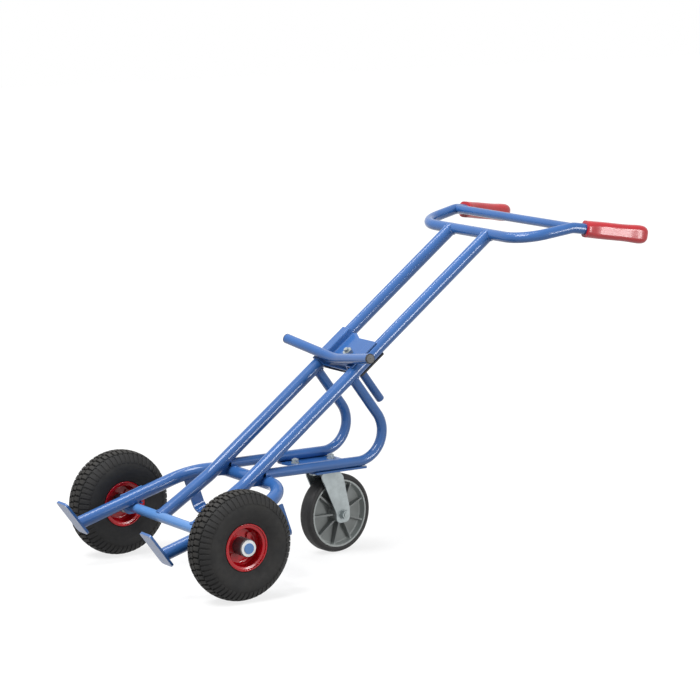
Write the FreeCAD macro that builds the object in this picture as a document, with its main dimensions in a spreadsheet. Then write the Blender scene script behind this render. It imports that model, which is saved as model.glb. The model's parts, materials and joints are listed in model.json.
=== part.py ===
import FreeCAD, Part
import math
import os
import re
import Sketcher

# Drum trolley: a welded tubular steel frame on two pneumatic wheels and one swivel caster, with two toe plates,
# a handle loop with safety grips, and a drum saddle on a carriage that slides up the two rails.
#
# Row frame: X forward (towards the toe plates), Y to the operator's left, Z up. The origin is on the floor, under the
# middle of the trolley's box. The trolley is drawn parked on its three wheels, as it stands when it isn't in use.
#
# Two local frames carry most of the drawing. The upright frame has its origin on the axle, Z up the rails and X square
# to them, towards the drum. The floor frame has its origin on the floor under the axle, X forward and Z up.

SIZES = [
    # Frame tubes
    ("rail_angle", 37.4, "slope of the rails above the floor when parked, degrees"),
    ("rail_diameter", 32, "outside diameter of the rails"),
    ("rail_spacing", 156, "centre to centre of the rails, and of the support legs"),
    ("rail_setback", 16, "rail centre line behind the axle, square to the rails"),
    ("rail_bend_height", 164, "where the rail kinks in towards the axle"),
    ("rail_bend_radius", 160, "centre line radius of that kink"),
    ("tube_wall", 2, "wall of every frame tube"),
    ("weld_gap", 0.05, "clearance of a coped tube end on the tube it is welded to"),
    ("sleeve_gap", 0.05, "radial clearance of a sleeve or a pin in its hole"),
    # Base fork and toe plates
    ("fork_diameter", 32, "outside diameter of the base fork"),
    ("fork_spacing", 397, "centre to centre of the fork arms"),
    ("fork_angle", 16.5, "slope of the fork above the floor when parked, degrees"),
    ("fork_rise", 27.3, "fork centre line above the axle centre, over the axle"),
    ("fork_rear", 203, "from the axle back to the fork's cross part"),
    ("fork_bend_radius", 105, "centre line radius of the fork's two bends"),
    ("toe_plate_length", 100, "length of a toe plate, away from the rails"),
    ("toe_plate_width", 50, "width of a toe plate"),
    ("toe_plate_thickness", 6, "thickness of a toe plate"),
    ("toe_plate_corner", 8, "corner radius of a toe plate"),
    ("toe_plate_drop", 141.5, "from the axle down to the toe plates' soles, along the rails"),
    ("toe_plate_start", 52, "from the axle forward to the toe plates' rear edge"),
    # Axle and wheels
    ("axle_diameter", 25, "diameter of the axle bar"),
    ("axle_end", 2.2, "how far the axle stands out of the white retaining washers"),
    ("wheel_beside", 81.5, "from a fork arm's centre out to the middle plane of its wheel"),
    ("wheel_diameter", 260, "outside diameter of the pneumatic tyres"),
    ("tyre_width", 85, "width of the pneumatic tyres"),
    ("rim_lip_radius", 56, "outside radius of the rim lip"),
    ("rim_width", 66, "width of the rim over its lips"),
    ("rim_seat_radius", 48, "radius of the rim's tyre bed"),
    ("valve_radius", 3.5, "radius of the valve stem at its foot"),
    ("valve_length", 20, "length of the valve stem"),
    ("valve_offset", 13, "valve beside the wheel's middle plane"),
    ("valve_turn", 7.5, "how far round the rim the valve stands from straight down, degrees"),
    ("tube_gap", 0.3, "clearance of the inner tube in the tyre and on the rim"),
    ("inner_tube_wall", 2, "wall of the inner tube"),
    ("rim_sheet", 2.5, "sheet thickness of the rim halves"),
    ("rim_bolt_count", 4, "bolts that hold the two rim halves together"),
    ("rim_bolt_diameter", 8, "rim bolts"),
    ("rim_bolt_flats", 13, "heads and nuts of the rim bolts, across the flats"),
    ("rim_bolt_head", 5, "height of a rim bolt's head"),
    ("rim_nut_height", 6, "height of a rim bolt's nut"),
    ("hub_radius", 21, "outside radius of the hub barrel"),
    ("hub_length", 76, "length of the hub barrel"),
    ("bearing_radius", 16, "outside radius of the roller bearings"),
    ("bearing_length", 20, "length of one roller bearing"),
    ("cap_washer_radius", 19, "radius of the white retaining washers"),
    ("cap_washer_thickness", 3, "thickness of the white retaining washers"),
    ("inner_washer_thickness", 2.5, "thickness of the plain washers inside the wheels"),
    ("running_gap", 0.3, "side clearance of a wheel on its axle"),
    ("lug_thickness", 5, "axle lug plates"),
    ("lug_radius", 18, "rounded end of an axle lug"),
    ("lug_flare", 12, "how much wider a lug is at the fork arm, on each side"),
    ("lug_lap", 12, "how far a lug laps up beside the fork arm, above its centre line"),
    # Support legs
    ("leg_diameter", 25, "outside diameter of the support legs"),
    ("leg_joint_height", 551, "where a leg meets its rail, above the axle, along the rails"),
    ("leg_run_height", 238, "height of the legs' level run above the floor"),
    ("leg_bend_radius", 70, "centre line radius of the leg bend"),
    ("gusset_thickness", 5, "webs between the rails and the fork's cross part"),
    ("gusset_reach", 46, "from the cross part's centre forward to the gusset's tip"),
    ("gusset_height", 28, "from the cross part's centre up to the gusset's top"),
    ("gusset_drop", 6, "from the cross part's centre down to the gusset's lower edge"),
    # Caster
    ("swivel_offset", 415, "from the axle back to the caster's swivel axis"),
    ("caster_trail", 41, "from the swivel axis back to the caster's axle"),
    ("caster_yaw", 6, "how far the parked caster is turned, degrees"),
    ("caster_wheel_diameter", 196, "outside diameter of the caster wheel"),
    ("caster_wheel_width", 42, "width of the caster tyre"),
    ("caster_rim_radius", 84, "radius of the caster wheel's centre"),
    ("caster_rib_count", 9, "ribs on each side of the caster wheel"),
    ("caster_hub_radius", 21, "radius of the caster wheel's hub"),
    ("caster_hub_length", 56, "length of the caster wheel's hub"),
    ("caster_axle_diameter", 12, "caster axle bolt"),
    ("caster_nut_flats", 19, "head and nut of the caster axle, across the flats"),
    ("caster_bolt_head", 7.5, "height of the caster axle bolt's head"),
    ("caster_nut_height", 9, "height of the caster axle nut"),
    ("caster_washer_radius", 12, "radius of the caster axle washer"),
    ("caster_washer_thickness", 2, "thickness of the caster axle washer"),
    ("caster_sleeve_radius", 10, "outside radius of the sleeve in the caster hub"),
    ("caster_sheet", 4, "sheet thickness of the caster fork"),
    ("caster_leg_half_width", 21, "half width of the caster fork's legs at the axle"),
    ("caster_crown_front", 28, "caster fork's crown in front of the swivel axis"),
    ("caster_crown_rear", 30, "caster fork's crown behind the swivel axis"),
    ("caster_plate_length", 135, "caster top plate, along the trolley"),
    ("caster_plate_width", 110, "caster top plate, across the trolley"),
    ("caster_plate_thickness", 4, "thickness of the caster top plate"),
    ("caster_plate_corner", 8, "corner radius of the caster top plate"),
    ("caster_bolt_length_spacing", 105, "bolt holes, along the trolley"),
    ("caster_bolt_width_spacing", 80, "bolt holes, across the trolley"),
    ("plate_bolt_diameter", 10, "bolts of the caster plate"),
    ("plate_bolt_flats", 16, "heads and nuts of the caster plate, across the flats"),
    ("plate_bolt_head", 6.4, "height of a caster plate bolt's head"),
    ("plate_nut_height", 8, "height of a caster plate nut"),
    ("plate_washer_radius", 10, "radius of a caster plate washer"),
    ("plate_washer_thickness", 2, "thickness of a caster plate washer"),
    ("plate_hole_gap", 0.5, "radial clearance of a bolt in a plate's hole"),
    ("bolt_end", 2, "how far a bolt stands out of its nut"),
    ("caster_head_radius", 30, "radius of the swivel head"),
    ("caster_seal_thickness", 5, "height of the red dust seal"),
    ("swivel_ball_ring", 14, "radius of the ring of balls in the swivel head"),
    ("swivel_ball_count", 12, "balls in the swivel head"),
    ("caster_crown_height", 203, "underside of the caster fork's crown above the floor"),
    ("kingpin_radius", 8, "radius of the king pin"),
    ("kingpin_head_radius", 12, "radius of the king pin's head, under the crown"),
    ("kingpin_head_height", 7, "height of the king pin's head"),
    ("mount_plate_length", 152, "blue plate under the legs, along the trolley"),
    ("mount_plate_width", 176, "blue plate under the legs, across the trolley"),
    ("mount_plate_thickness", 5, "thickness of the blue plate under the legs"),
    ("mount_plate_corner", 6, "corner radius of the blue plate"),
    ("mount_notch_depth", 14, "hollow in the front edge of the blue plate"),
    ("mount_notch_half", 16, "half width of that hollow"),
    # Foot step
    ("step_bar_width", 32, "width of the foot step's flat bar"),
    ("step_bar_thickness", 5, "thickness of the foot step's flat bar"),
    ("step_drop", 100, "foot step's tread below the fork arms"),
    ("step_position", 150, "from the axle back to the foot step's top"),
    ("step_tilt", 20, "lean of the foot step's arms, degrees"),
    ("step_corner_radius", 14, "inside radius of the foot step's corners"),
    # Handle
    ("handle_diameter", 27, "outside diameter of the handle tube"),
    ("handle_bar_height", 1072, "front bar of the handle above the axle, along the rails"),
    ("handle_spacing", 428, "between the corners of the handle's front bar"),
    ("handle_bend_radius", 85, "centre line radius of the handle's front bends"),
    ("handle_rear_bend_radius", 60, "centre line radius where the grips droop"),
    ("handle_arm_length", 137, "from the front bar back to the cross bar"),
    ("handle_arm_rise", 10, "slope of the handle arms, degrees"),
    ("handle_splay", 12, "how far the handle arms spread, degrees"),
    ("cross_bar_diameter", 22, "outside diameter of the rear cross bar"),
    ("cross_bar_lift", 0.5, "cross bar centre above the handle arms' centre"),
    ("grip_length", 172, "length of a grip"),
    ("grip_droop", 8, "slope of the grips, degrees"),
    ("grip_start", 34, "from the cross bar back to the front of the grip"),
    ("grip_hole_end", 6, "solid end of a grip, behind its hole"),
    ("grip_tube_end", 8, "handle tube's end in front of the grip's rear end"),
    ("grip_body_width", 34, "width of a grip"),
    ("grip_body_height", 43, "height of a grip"),
    # Carriage and clamp
    ("carriage_position", 562, "lower edge of the carriage above the axle, along the rails"),
    ("carriage_near_length", 91, "length of the carriage's left flange along the rails"),
    ("carriage_floor_length", 104, "length of the carriage's floor along the rails"),
    ("carriage_far_length", 114, "length of the carriage's right flange along the rails"),
    ("carriage_flange_width", 86, "from the middle to the outer edge of a carriage flange"),
    ("carriage_sheet", 3, "sheet thickness of the carriage"),
    ("carriage_pocket_depth", 17, "how far the carriage dips between the rails"),
    ("slide_gap", 0.3, "clearance of the carriage over the rails"),
    ("saddle_diameter", 25, "outside diameter of the saddle tube"),
    ("saddle_position", 574, "saddle tube above the axle, along the rails"),
    ("saddle_half_span", 181, "from the middle to the end of the saddle tube"),
    ("saddle_depth", 34, "how far the saddle's ends stand in front of its middle"),
    ("saddle_bend_radius", 150, "centre line radius of the saddle's middle"),
    ("cap_depth", 12, "how deep the end caps sit in the saddle tube"),
    ("cap_height", 4, "how far the end caps stand out of the saddle tube"),
    ("clamp_position", 612.5, "clamp screw above the axle, along the rails"),
    ("clamp_plate_length", 85, "length of the clamp plate along the rails"),
    ("clamp_plate_width", 172, "width of the clamp plate across the rails"),
    ("clamp_plate_thickness", 4, "thickness of the clamp plate"),
    ("clamp_plate_corner", 6, "corner radius of the clamp plate"),
    ("clamp_nut_flats", 22, "weld nut on the carriage, across the flats"),
    ("clamp_nut_height", 10, "height of the weld nut"),
    ("clamp_screw_diameter", 12, "clamp screw"),
    ("clamp_collar", 3, "collar of the screw behind the clamp plate"),
    ("clamp_socket", 30, "how deep the screw sits in its tube handle"),
    ("clamp_handle_diameter", 21, "tube handle on the clamp screw"),
    ("clamp_handle_reach", 155, "from the rails' centre plane back to the handle's end"),
]

doc = FreeCAD.newDocument("drum_trolley")
sheet = doc.addObject("Spreadsheet::Sheet", "Sizes")
for row, (alias, value, meaning) in enumerate(SIZES, start=1):
    sheet.set(f"A{row}", meaning)
    sheet.set(f"B{row}", str(value))
    sheet.setAlias(f"B{row}", alias)
doc.recompute()
ALIASES = {alias for alias, value, meaning in SIZES}
NODES = {}


def sized(text):
    """Expression text with each alias written as its cell in the sheet."""
    return re.sub(r"[a-z_][a-z0-9_]*", lambda m: "Sizes." + m.group() if m.group() in ALIASES else m.group(), str(text))


def size(text):
    """Value of an expression on the sheet's sizes."""
    return float(sheet.evalExpression(sized(text)))


def bind(thing, **texts):
    """Ties properties of an object to expressions on the sheet."""
    for name, text in texts.items():
        thing.setExpression(name, sized(text))
    return thing


# Places

X = FreeCAD.Vector(1, 0, 0)
Y = FreeCAD.Vector(0, 1, 0)
Z = FreeCAD.Vector(0, 0, 1)


def turn(axis, degrees):
    return FreeCAD.Placement(FreeCAD.Vector(), FreeCAD.Rotation(axis, degrees))


def move(x=0, y=0, z=0):
    return FreeCAD.Placement(FreeCAD.Vector(x, y, z), FreeCAD.Rotation())


def tangent(degrees):
    return math.tan(math.radians(degrees))


def along(length, degrees):
    """A run of the given length, back and up at an angle to the floor, as (x, z)."""
    return -length * math.cos(math.radians(degrees)), length * math.sin(math.radians(degrees))


axle_height = size("wheel_diameter / 2")
lean = size("rail_angle") - 90
AXLE = move(z=axle_height)
UPRIGHT = AXLE * turn(Y, lean)


def upright_point(x, z, y=0):
    """Floor frame point of a point in the upright frame."""
    return UPRIGHT.multVec(FreeCAD.Vector(x, y, z))


# Handle points in the floor frame: the front bar's middle, the cross bar's level and the grips' ends.
bar_middle = upright_point(-size("rail_setback"), size("handle_bar_height"))
arm_run, arm_climb = along(size("handle_arm_length"), size("handle_arm_rise"))
grip_reach = size("grip_start + grip_length")
grip_end_x = bar_middle.x + arm_run + along(grip_reach, -size("grip_droop"))[0]
toe_tip = upright_point(size("toe_plate_start + toe_plate_length"), -size("toe_plate_drop"))
leg_root = upright_point(-size("rail_setback"), size("leg_joint_height"))
SHIFT = move(-(grip_end_x + toe_tip.x) / 2)
FLOOR = SHIFT
UPRIGHT = SHIFT * UPRIGHT
AXLE = SHIFT * AXLE
SWIVEL = SHIFT * move(-size("swivel_offset")) * turn(Z, size("caster_yaw"))
CASTER_AXLE = SWIVEL * move(-size("caster_trail"), 0, size("caster_wheel_diameter / 2"))
SIDES = {"left": 1, "right": -1}


def node(name, thing, place=None):
    """Makes an object the sub-part of this name."""
    thing.Label = name
    if place is not None:
        thing.Placement = place
    NODES[name] = thing
    return thing


# Sketches, bodies and features


def origin_plane(body, role):
    return next(f for f in body.Origin.OriginFeatures if f.Role == role)


def new_body(name):
    return doc.addObject("PartDesign::Body", name)


def new_sketch(body, name, plane, offset="0"):
    """Sketch on one of the body's origin planes, at an offset along that plane's normal."""
    sketch = body.newObject("Sketcher::SketchObject", name)
    sketch.AttachmentSupport = [(origin_plane(body, plane), "")]
    sketch.MapMode = "FlatFace"
    bind(sketch, **{".AttachmentOffset.Base.z": offset})
    return sketch


def pin_point(sketch, geometry, end, corner):
    """Holds a point at two expressions, measured from the sketch's origin."""
    for kind, text in zip(("DistanceX", "DistanceY"), corner):
        number = sketch.addConstraint(Sketcher.Constraint(kind, -1, 1, geometry, end, size(text)))
        sketch.setExpression(f"Constraints[{number}]", sized(text))


def draw(sketch, corners, closed=True):
    """Lines through corners (x, y), with a tangent arc where a corner is (x, y, radius). All are expressions."""
    count = len(corners)
    points = [FreeCAD.Vector(size(c[0]), size(c[1]), 0) for c in corners]
    rounded = [len(c) > 2 and (closed or 0 < i < count - 1) for i, c in enumerate(corners)]
    cuts = []
    for i, point in enumerate(points):
        if not rounded[i]:
            cuts.append((point, point))
            continue
        before = (points[i - 1] - point).normalize()
        after = (points[(i + 1) % count] - point).normalize()
        half = before.getAngle(after) / 2
        reach = size(corners[i][2]) / math.tan(half)
        cuts.append((point + before * reach, point + after * reach))
    lines = {}
    for i in range(count if closed else count - 1):
        lines[i] = sketch.addGeometry(Part.LineSegment(cuts[i][1], cuts[(i + 1) % count][0]), False)
    for i, corner in enumerate(corners):
        before = lines.get((i - 1) % count) if closed or i > 0 else None
        after = lines.get(i)
        if before is None or after is None:
            pin_point(sketch, after if before is None else before, 1 if before is None else 2, corner)
            continue
        if not rounded[i]:
            sketch.addConstraint(Sketcher.Constraint("Coincident", before, 2, after, 1))
            pin_point(sketch, after, 1, corner)
            continue
        start, stop = cuts[i]
        into = (points[i] - start).normalize()
        out = (stop - points[i]).normalize()
        left = into.x * out.y - into.y * out.x > 0
        radius = size(corner[2])
        centre = start + FreeCAD.Vector(-into.y, into.x, 0) * (radius if left else -radius)
        angles = [math.atan2(p.y - centre.y, p.x - centre.x) for p in (start, stop)]
        circle = Part.Circle(centre, Z, radius)
        arc = sketch.addGeometry(Part.ArcOfCircle(circle, *(angles if left else angles[::-1])), False)
        sketch.addConstraint(Sketcher.Constraint("Tangent", before, 2, arc, 1 if left else 2))
        sketch.addConstraint(Sketcher.Constraint("Tangent", arc, 2 if left else 1, after, 1))
        number = sketch.addConstraint(Sketcher.Constraint("Radius", arc, radius))
        sketch.setExpression(f"Constraints[{number}]", sized(corner[2]))
        knee = sketch.addGeometry(Part.Point(points[i]), True)
        sketch.addConstraint(Sketcher.Constraint("PointOnObject", knee, 1, before))
        sketch.addConstraint(Sketcher.Constraint("PointOnObject", knee, 1, after))
        pin_point(sketch, knee, 1, corner)
    return sketch


def draw_circle(sketch, radius, x="0", y="0"):
    centre = FreeCAD.Vector(size(x), size(y), 0)
    circle = sketch.addGeometry(Part.Circle(centre, Z, size(radius)), False)
    number = sketch.addConstraint(Sketcher.Constraint("Radius", circle, size(radius)))
    sketch.setExpression(f"Constraints[{number}]", sized(radius))
    pin_point(sketch, circle, 3, (x, y))
    return sketch


def pad(body, sketch, length, middle=True):
    feature = body.newObject("PartDesign::Pad", sketch.Name + "_pad")
    feature.Profile = sketch
    feature.Midplane = middle
    return bind(feature, Length=length)


def pocket(body, sketch):
    """Cuts a sketch through the body, both ways."""
    feature = body.newObject("PartDesign::Pocket", sketch.Name + "_pocket")
    feature.Profile = sketch
    feature.Type = "ThroughAll"
    feature.Midplane = True
    return feature


def revolve(name, corners, place, label=None):
    """Ring turned about the local Y axis. Corners are (radius, y)."""
    body = new_body(name + "_body")
    profile = draw(new_sketch(body, name + "_profile", "XY_Plane"), corners)
    turned = body.newObject("PartDesign::Revolution", name + "_turned")
    turned.Profile = profile
    turned.ReferenceAxis = (profile, ["V_Axis"])
    turned.Angle = 360
    if label is not None:
        node(label, body, place)
    return body


def bent_tube(name, plane, corners, diameter):
    """Tube of the frame's wall swept along a path of lines and tangent arcs."""
    body = new_body(name + "_body")
    route = draw(new_sketch(body, name + "_route", plane), corners, closed=False)
    doc.recompute()
    section = body.newObject("Sketcher::SketchObject", name + "_section")
    section.AttachmentSupport = [(route, "Edge1")]
    section.MapMode = "NormalToEdge"
    draw_circle(section, f"{diameter} / 2")
    draw_circle(section, f"{diameter} / 2 - tube_wall")
    swept = body.newObject("PartDesign::AdditivePipe", name + "_swept")
    swept.Profile = section
    swept.Spine = (route, [f"Edge{n + 1}" for n in range(len(route.Shape.Edges))])
    return body


def cylinder(name, radius, length, place, axis="Z"):
    """Cylinder centred on its place, along one of its local axes."""
    turns = {"X": turn(Y, 90), "Y": turn(X, -90), "Z": turn(Z, 0)}
    thing = bind(doc.addObject("Part::Cylinder", name), Radius=radius, Height=length)
    thing.Placement = place * turns[axis] * move(z=-size(length) / 2)
    return thing


def fused(name, things):
    if len(things) == 1:
        return things[0]
    thing = doc.addObject("Part::MultiFuse", name)
    thing.Shapes = things
    return thing


def cut(name, base, tools, label=None):
    thing = doc.addObject("Part::Cut", name)
    thing.Base = base
    thing.Tool = fused(name + "_tools", tools)
    if label is not None:
        node(label, thing)
    return thing


def group(label, things):
    """Several equal fasteners as separate solids of one sub-part."""
    thing = doc.addObject("Part::Compound", label + "_group")
    thing.Links = things
    return node(label, thing)


def hexagon(name, across_flats, height, place):
    thing = doc.addObject("Part::Prism", name)
    thing.Polygon = 6
    bind(thing, Circumradius=f"({across_flats}) / sqrt(3)", Height=height)
    thing.Placement = place
    return thing


# Axle and pneumatic wheels

WHEEL_TRACK = "(fork_spacing + 2 * wheel_beside)"
AXLE_LENGTH = f"({WHEEL_TRACK} + hub_length + 2 * (running_gap + cap_washer_thickness + axle_end))"
axle = cylinder("axle_bar", "axle_diameter / 2", AXLE_LENGTH, AXLE, "Y")
node("axle", axle)


def axle_cutter(name):
    """Cylinder that copes a tube's end to the axle."""
    return cylinder(name, "axle_diameter / 2 + weld_gap", AXLE_LENGTH, AXLE, "Y")


def rim_half():
    """One pressed rim half: rolled lip, tyre bed, stepped dish and the flat that is bolted to the other half."""
    return [
        ("hub_radius + weld_gap", "0"),
        ("rim_seat_radius - 6", "0"),
        ("rim_seat_radius", "6", "5"),
        ("rim_seat_radius", "rim_width / 2 - 7", "4"),
        ("rim_lip_radius - 1", "rim_width / 2 - 6", "3"),
        ("rim_lip_radius", "rim_width / 2", "1"),
        ("rim_lip_radius - rim_sheet - 1", "rim_width / 2", "1"),
        ("rim_lip_radius - rim_sheet - 1.5", "rim_width / 2 - 6 + rim_sheet", "1"),
        ("rim_seat_radius - rim_sheet", "rim_width / 2 - 7 + rim_sheet", "1.5"),
        ("rim_seat_radius - rim_sheet", "6 + rim_sheet", "2.5"),
        ("rim_seat_radius - 6 - rim_sheet", "rim_sheet", "3"),
        ("hub_radius + weld_gap", "rim_sheet"),
    ]


def mirrored(corners):
    """The same profile on the other side of the wheel's middle plane."""
    return [(c[0], f"-({c[1]})") + c[2:] for c in corners[::-1]]


def tyre_profile():
    """Tyre carcass: tread with four grooves, shoulders, side walls and beads, hollow inside."""
    outer = "wheel_diameter / 2"
    half = "tyre_width / 2"
    right = [
        (outer, "8.5"),
        (f"{outer} - 4.5", "9.5"),
        (f"{outer} - 4.5", "11.5"),
        (f"{outer} - 0.6", "12.5"),
        (f"{outer} - 2", f"{half} - 13"),
        (f"{outer} - 4", f"{half} - 12.3"),
        (f"{outer} - 4", f"{half} - 10.7"),
        (f"{outer} - 3", f"{half} - 10"),
        (f"{outer} - 7", f"{half} - 4.5", "6"),
        (f"{outer} - 22", f"{half} - 0.5", "9"),
        (f"{outer} - 45", f"{half}", "18"),
        ("rim_lip_radius + 8", f"{half} - 8", "8"),
        ("rim_lip_radius + 0.6", "rim_width / 2 - 1", "2"),
        ("rim_lip_radius + 0.4", "rim_width / 2 - 6.3", "1"),
        ("rim_seat_radius + 0.3", "rim_width / 2 - 7.3", "3.7"),
        ("rim_seat_radius + 0.3", "rim_width / 2 - 17"),
        ("rim_lip_radius + 2", "rim_width / 2 - 15", "3"),
        (f"{outer} - 52", f"{half} - 7", "14"),
        (f"{outer} - 20", f"{half} - 8", "16"),
        (f"{outer} - 13", "12", "20"),
    ]
    return mirrored(right) + right


def tube_ring(inset):
    """Section of the inner tube, this far inside the tyre's hollow."""
    outer = "wheel_diameter / 2"
    half = "tyre_width / 2"
    right = [
        (f"{outer} - 13 - {inset}", "10", "8"),
        (f"{outer} - 22 - {inset}", f"{half} - 12 - {inset}", "14"),
        (f"{outer} - 50", f"{half} - 8 - {inset}", "12"),
        (f"rim_lip_radius + 4 + {inset}", f"rim_width / 2 - 16 - {inset}", "3"),
        (f"rim_seat_radius + 1 + {inset}", f"rim_width / 2 - 18 - {inset}", "1"),
    ]
    return right + mirrored(right)


def wheel(side, sign):
    """Pneumatic wheel: tyre, inner tube, two rim halves, hub with two bearings, valve and rim bolts."""
    place = AXLE * move(y=sign * size(f"{WHEEL_TRACK} / 2"))
    revolve(f"tyre_{side}", tyre_profile(), place, f"tyre_{side}")
    outer_half, inner_half = (rim_half(), mirrored(rim_half())) if sign > 0 else (mirrored(rim_half()), rim_half())
    rim_outer = revolve(f"rim_outer_{side}", outer_half, place)
    rim_inner = revolve(f"rim_inner_{side}", inner_half, place)
    bolt_ring = "(hub_radius + rim_seat_radius - 6) / 2"
    bolt_count = round(size("rim_bolt_count"))
    holes = []
    bolts = []
    for index in range(bolt_count):
        spot = turn(Y, 360 * (index + 0.5) / bolt_count) * move(size(bolt_ring))
        hole_radius = "rim_bolt_diameter / 2 + sleeve_gap"
        holes.append(cylinder(f"rim_hole_{side}_{index}", hole_radius, "rim_sheet * 4", spot, "Y"))
        shank_length = "2 * (rim_sheet + rim_bolt_head)"
        shank = cylinder(f"rim_shank_{side}_{index}", "rim_bolt_diameter / 2", shank_length, spot, "Y")
        head_place = spot * turn(X, -90) * move(z=size("rim_sheet"))
        head = hexagon(f"rim_head_{side}_{index}", "rim_bolt_flats", "rim_bolt_head", head_place)
        nut_place = spot * turn(X, 90) * move(z=size("rim_sheet"))
        nut = hexagon(f"rim_nut_{side}_{index}", "rim_bolt_flats", "rim_nut_height", nut_place)
        bolts.append(fused(f"rim_bolt_{side}_{index}", [shank, head, nut]))
    # The valve points down into the dish, through the outer half's tyre bed.
    valve_place = turn(Y, -size("valve_turn")) * move(y=sign * size("valve_offset")) * turn(X, 180)
    stem = bind(doc.addObject("Part::Cone", f"valve_{side}"), Height="valve_length", Radius1="valve_radius")
    bind(stem, Radius2="valve_radius * 0.6")
    stem.Placement = place * valve_place * move(z=size("rim_seat_radius + inner_tube_wall"))
    hole_place = valve_place * move(z=size("rim_seat_radius"))
    holes.append(cylinder(f"valve_hole_{side}", "valve_radius + tube_gap", "rim_sheet * 4", hole_place))
    cutter = fused(f"rim_holes_{side}", holes)
    cutter.Placement = place
    for name, half in (("outer", rim_outer), ("inner", rim_inner)):
        half.Placement = place
        drilled = doc.addObject("Part::Cut", f"rim_{name}_{side}_drilled")
        drilled.Base = half
        drilled.Tool = cutter
        node(f"rim_{name}_{side}", drilled)
    group(f"rim_bolts_{side}", bolts).Placement = place
    hub = [
        ("bearing_radius + sleeve_gap", "-hub_length / 2"),
        ("hub_radius - 1", "-hub_length / 2"),
        ("hub_radius", "-hub_length / 2 + 1"),
        ("hub_radius", "hub_length / 2 - 1"),
        ("hub_radius - 1", "hub_length / 2"),
        ("bearing_radius + sleeve_gap", "hub_length / 2"),
    ]
    revolve(f"hub_{side}", hub, place, f"hub_{side}")
    bearing = [
        ("axle_diameter / 2 + sleeve_gap", "-bearing_length / 2"),
        ("bearing_radius", "-bearing_length / 2"),
        ("bearing_radius", "bearing_length / 2"),
        ("axle_diameter / 2 + sleeve_gap", "bearing_length / 2"),
    ]
    pair = []
    for end in (-1, 1):
        ring = revolve(f"bearing_{side}_{'inner' if end < 0 else 'outer'}", bearing, None)
        ring.Placement = move(y=end * size("(hub_length - bearing_length) / 2"))
        pair.append(ring)
    group(f"bearings_{side}", pair).Placement = place
    tube_body = new_body(f"inner_tube_{side}_body")
    section = new_sketch(tube_body, f"inner_tube_{side}_section", "XY_Plane")
    draw(section, tube_ring("tube_gap"))
    draw(section, tube_ring("(tube_gap + inner_tube_wall)"))
    ring = tube_body.newObject("PartDesign::Revolution", f"inner_tube_{side}_turned")
    ring.Profile = section
    ring.ReferenceAxis = (section, ["V_Axis"])
    ring.Angle = 360
    tube_body.Placement = place
    node(f"inner_tube_{side}", fused(f"inner_tube_{side}_whole", [tube_body, stem]))


for side, sign in SIDES.items():
    wheel(side, sign)


def washer(name, outer, thickness, place):
    inner = "axle_diameter / 2 + sleeve_gap"
    half = f"({thickness}) / 2"
    corners = [(inner, f"-{half}"), (outer, f"-{half}"), (outer, half), (inner, half)]
    ring = revolve(name, corners, None)
    ring.Placement = place
    return ring


inner_washers = []
outer_washers = []
for side, sign in SIDES.items():
    hub_in = size(f"{WHEEL_TRACK} / 2 - hub_length / 2 - running_gap - inner_washer_thickness / 2")
    hub_out = size(f"{WHEEL_TRACK} / 2 + hub_length / 2 + running_gap + cap_washer_thickness / 2")
    inner_place = AXLE * move(y=sign * hub_in)
    outer_place = AXLE * move(y=sign * hub_out)
    inner_washers.append(washer(f"inner_washer_{side}", "cap_washer_radius", "inner_washer_thickness", inner_place))
    outer_washers.append(washer(f"outer_washer_{side}", "cap_washer_radius", "cap_washer_thickness", outer_place))
group("axle_inner_washers", inner_washers)
group("axle_retaining_washers", outer_washers)

# Rails

for side, sign in SIDES.items():
    route = [
        ("0", "0"),
        ("-rail_setback", "rail_bend_height", "rail_bend_radius"),
        ("-rail_setback", "handle_bar_height"),
    ]
    body = bent_tube(f"rail_{side}", "XZ_Plane", route, "rail_diameter")
    body.Placement = UPRIGHT * move(y=sign * size("rail_spacing / 2"))
    bar_place = UPRIGHT * move(-size("rail_setback"), 0, size("handle_bar_height"))
    bar_cutter = cylinder(f"rail_{side}_top_cope", "handle_diameter / 2 + weld_gap", "rail_spacing * 2", bar_place, "Y")
    cut(f"rail_{side}_coped", body, [axle_cutter(f"rail_{side}_foot_cope"), bar_cutter], f"rail_{side}")

# Base fork: a U in a plane that slopes up to the rear, laid over the axle

fork_place = AXLE * move(z=size("fork_rise")) * turn(Y, size("fork_angle"))
fork_lean = "cos(fork_angle)"
fork_stock = "toe_plate_drop + toe_plate_length"
fork_route = [
    (fork_stock, "fork_spacing / 2"),
    (f"-fork_rear / {fork_lean}", "fork_spacing / 2", "fork_bend_radius"),
    (f"-fork_rear / {fork_lean}", "-fork_spacing / 2", "fork_bend_radius"),
    (fork_stock, "-fork_spacing / 2"),
]
fork_body = bent_tube("base_fork", "XY_Plane", fork_route, "fork_diameter")
fork_body.Placement = fork_place
toe_top = UPRIGHT * move(z=-size("toe_plate_drop - toe_plate_thickness"))
toe_cutter = bind(doc.addObject("Part::Box", "fork_toe_saw"), Width="2 * fork_spacing")
bind(toe_cutter, Length="4 * toe_plate_drop", Height="2 * toe_plate_drop")
toe_cutter.Placement = toe_top * move(-size("2 * toe_plate_drop"), -size("fork_spacing"), -size("2 * toe_plate_drop"))
cut("base_fork_coped", fork_body, [axle_cutter("fork_axle_cope"), toe_cutter], "base_fork")

# Toe plates

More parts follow.
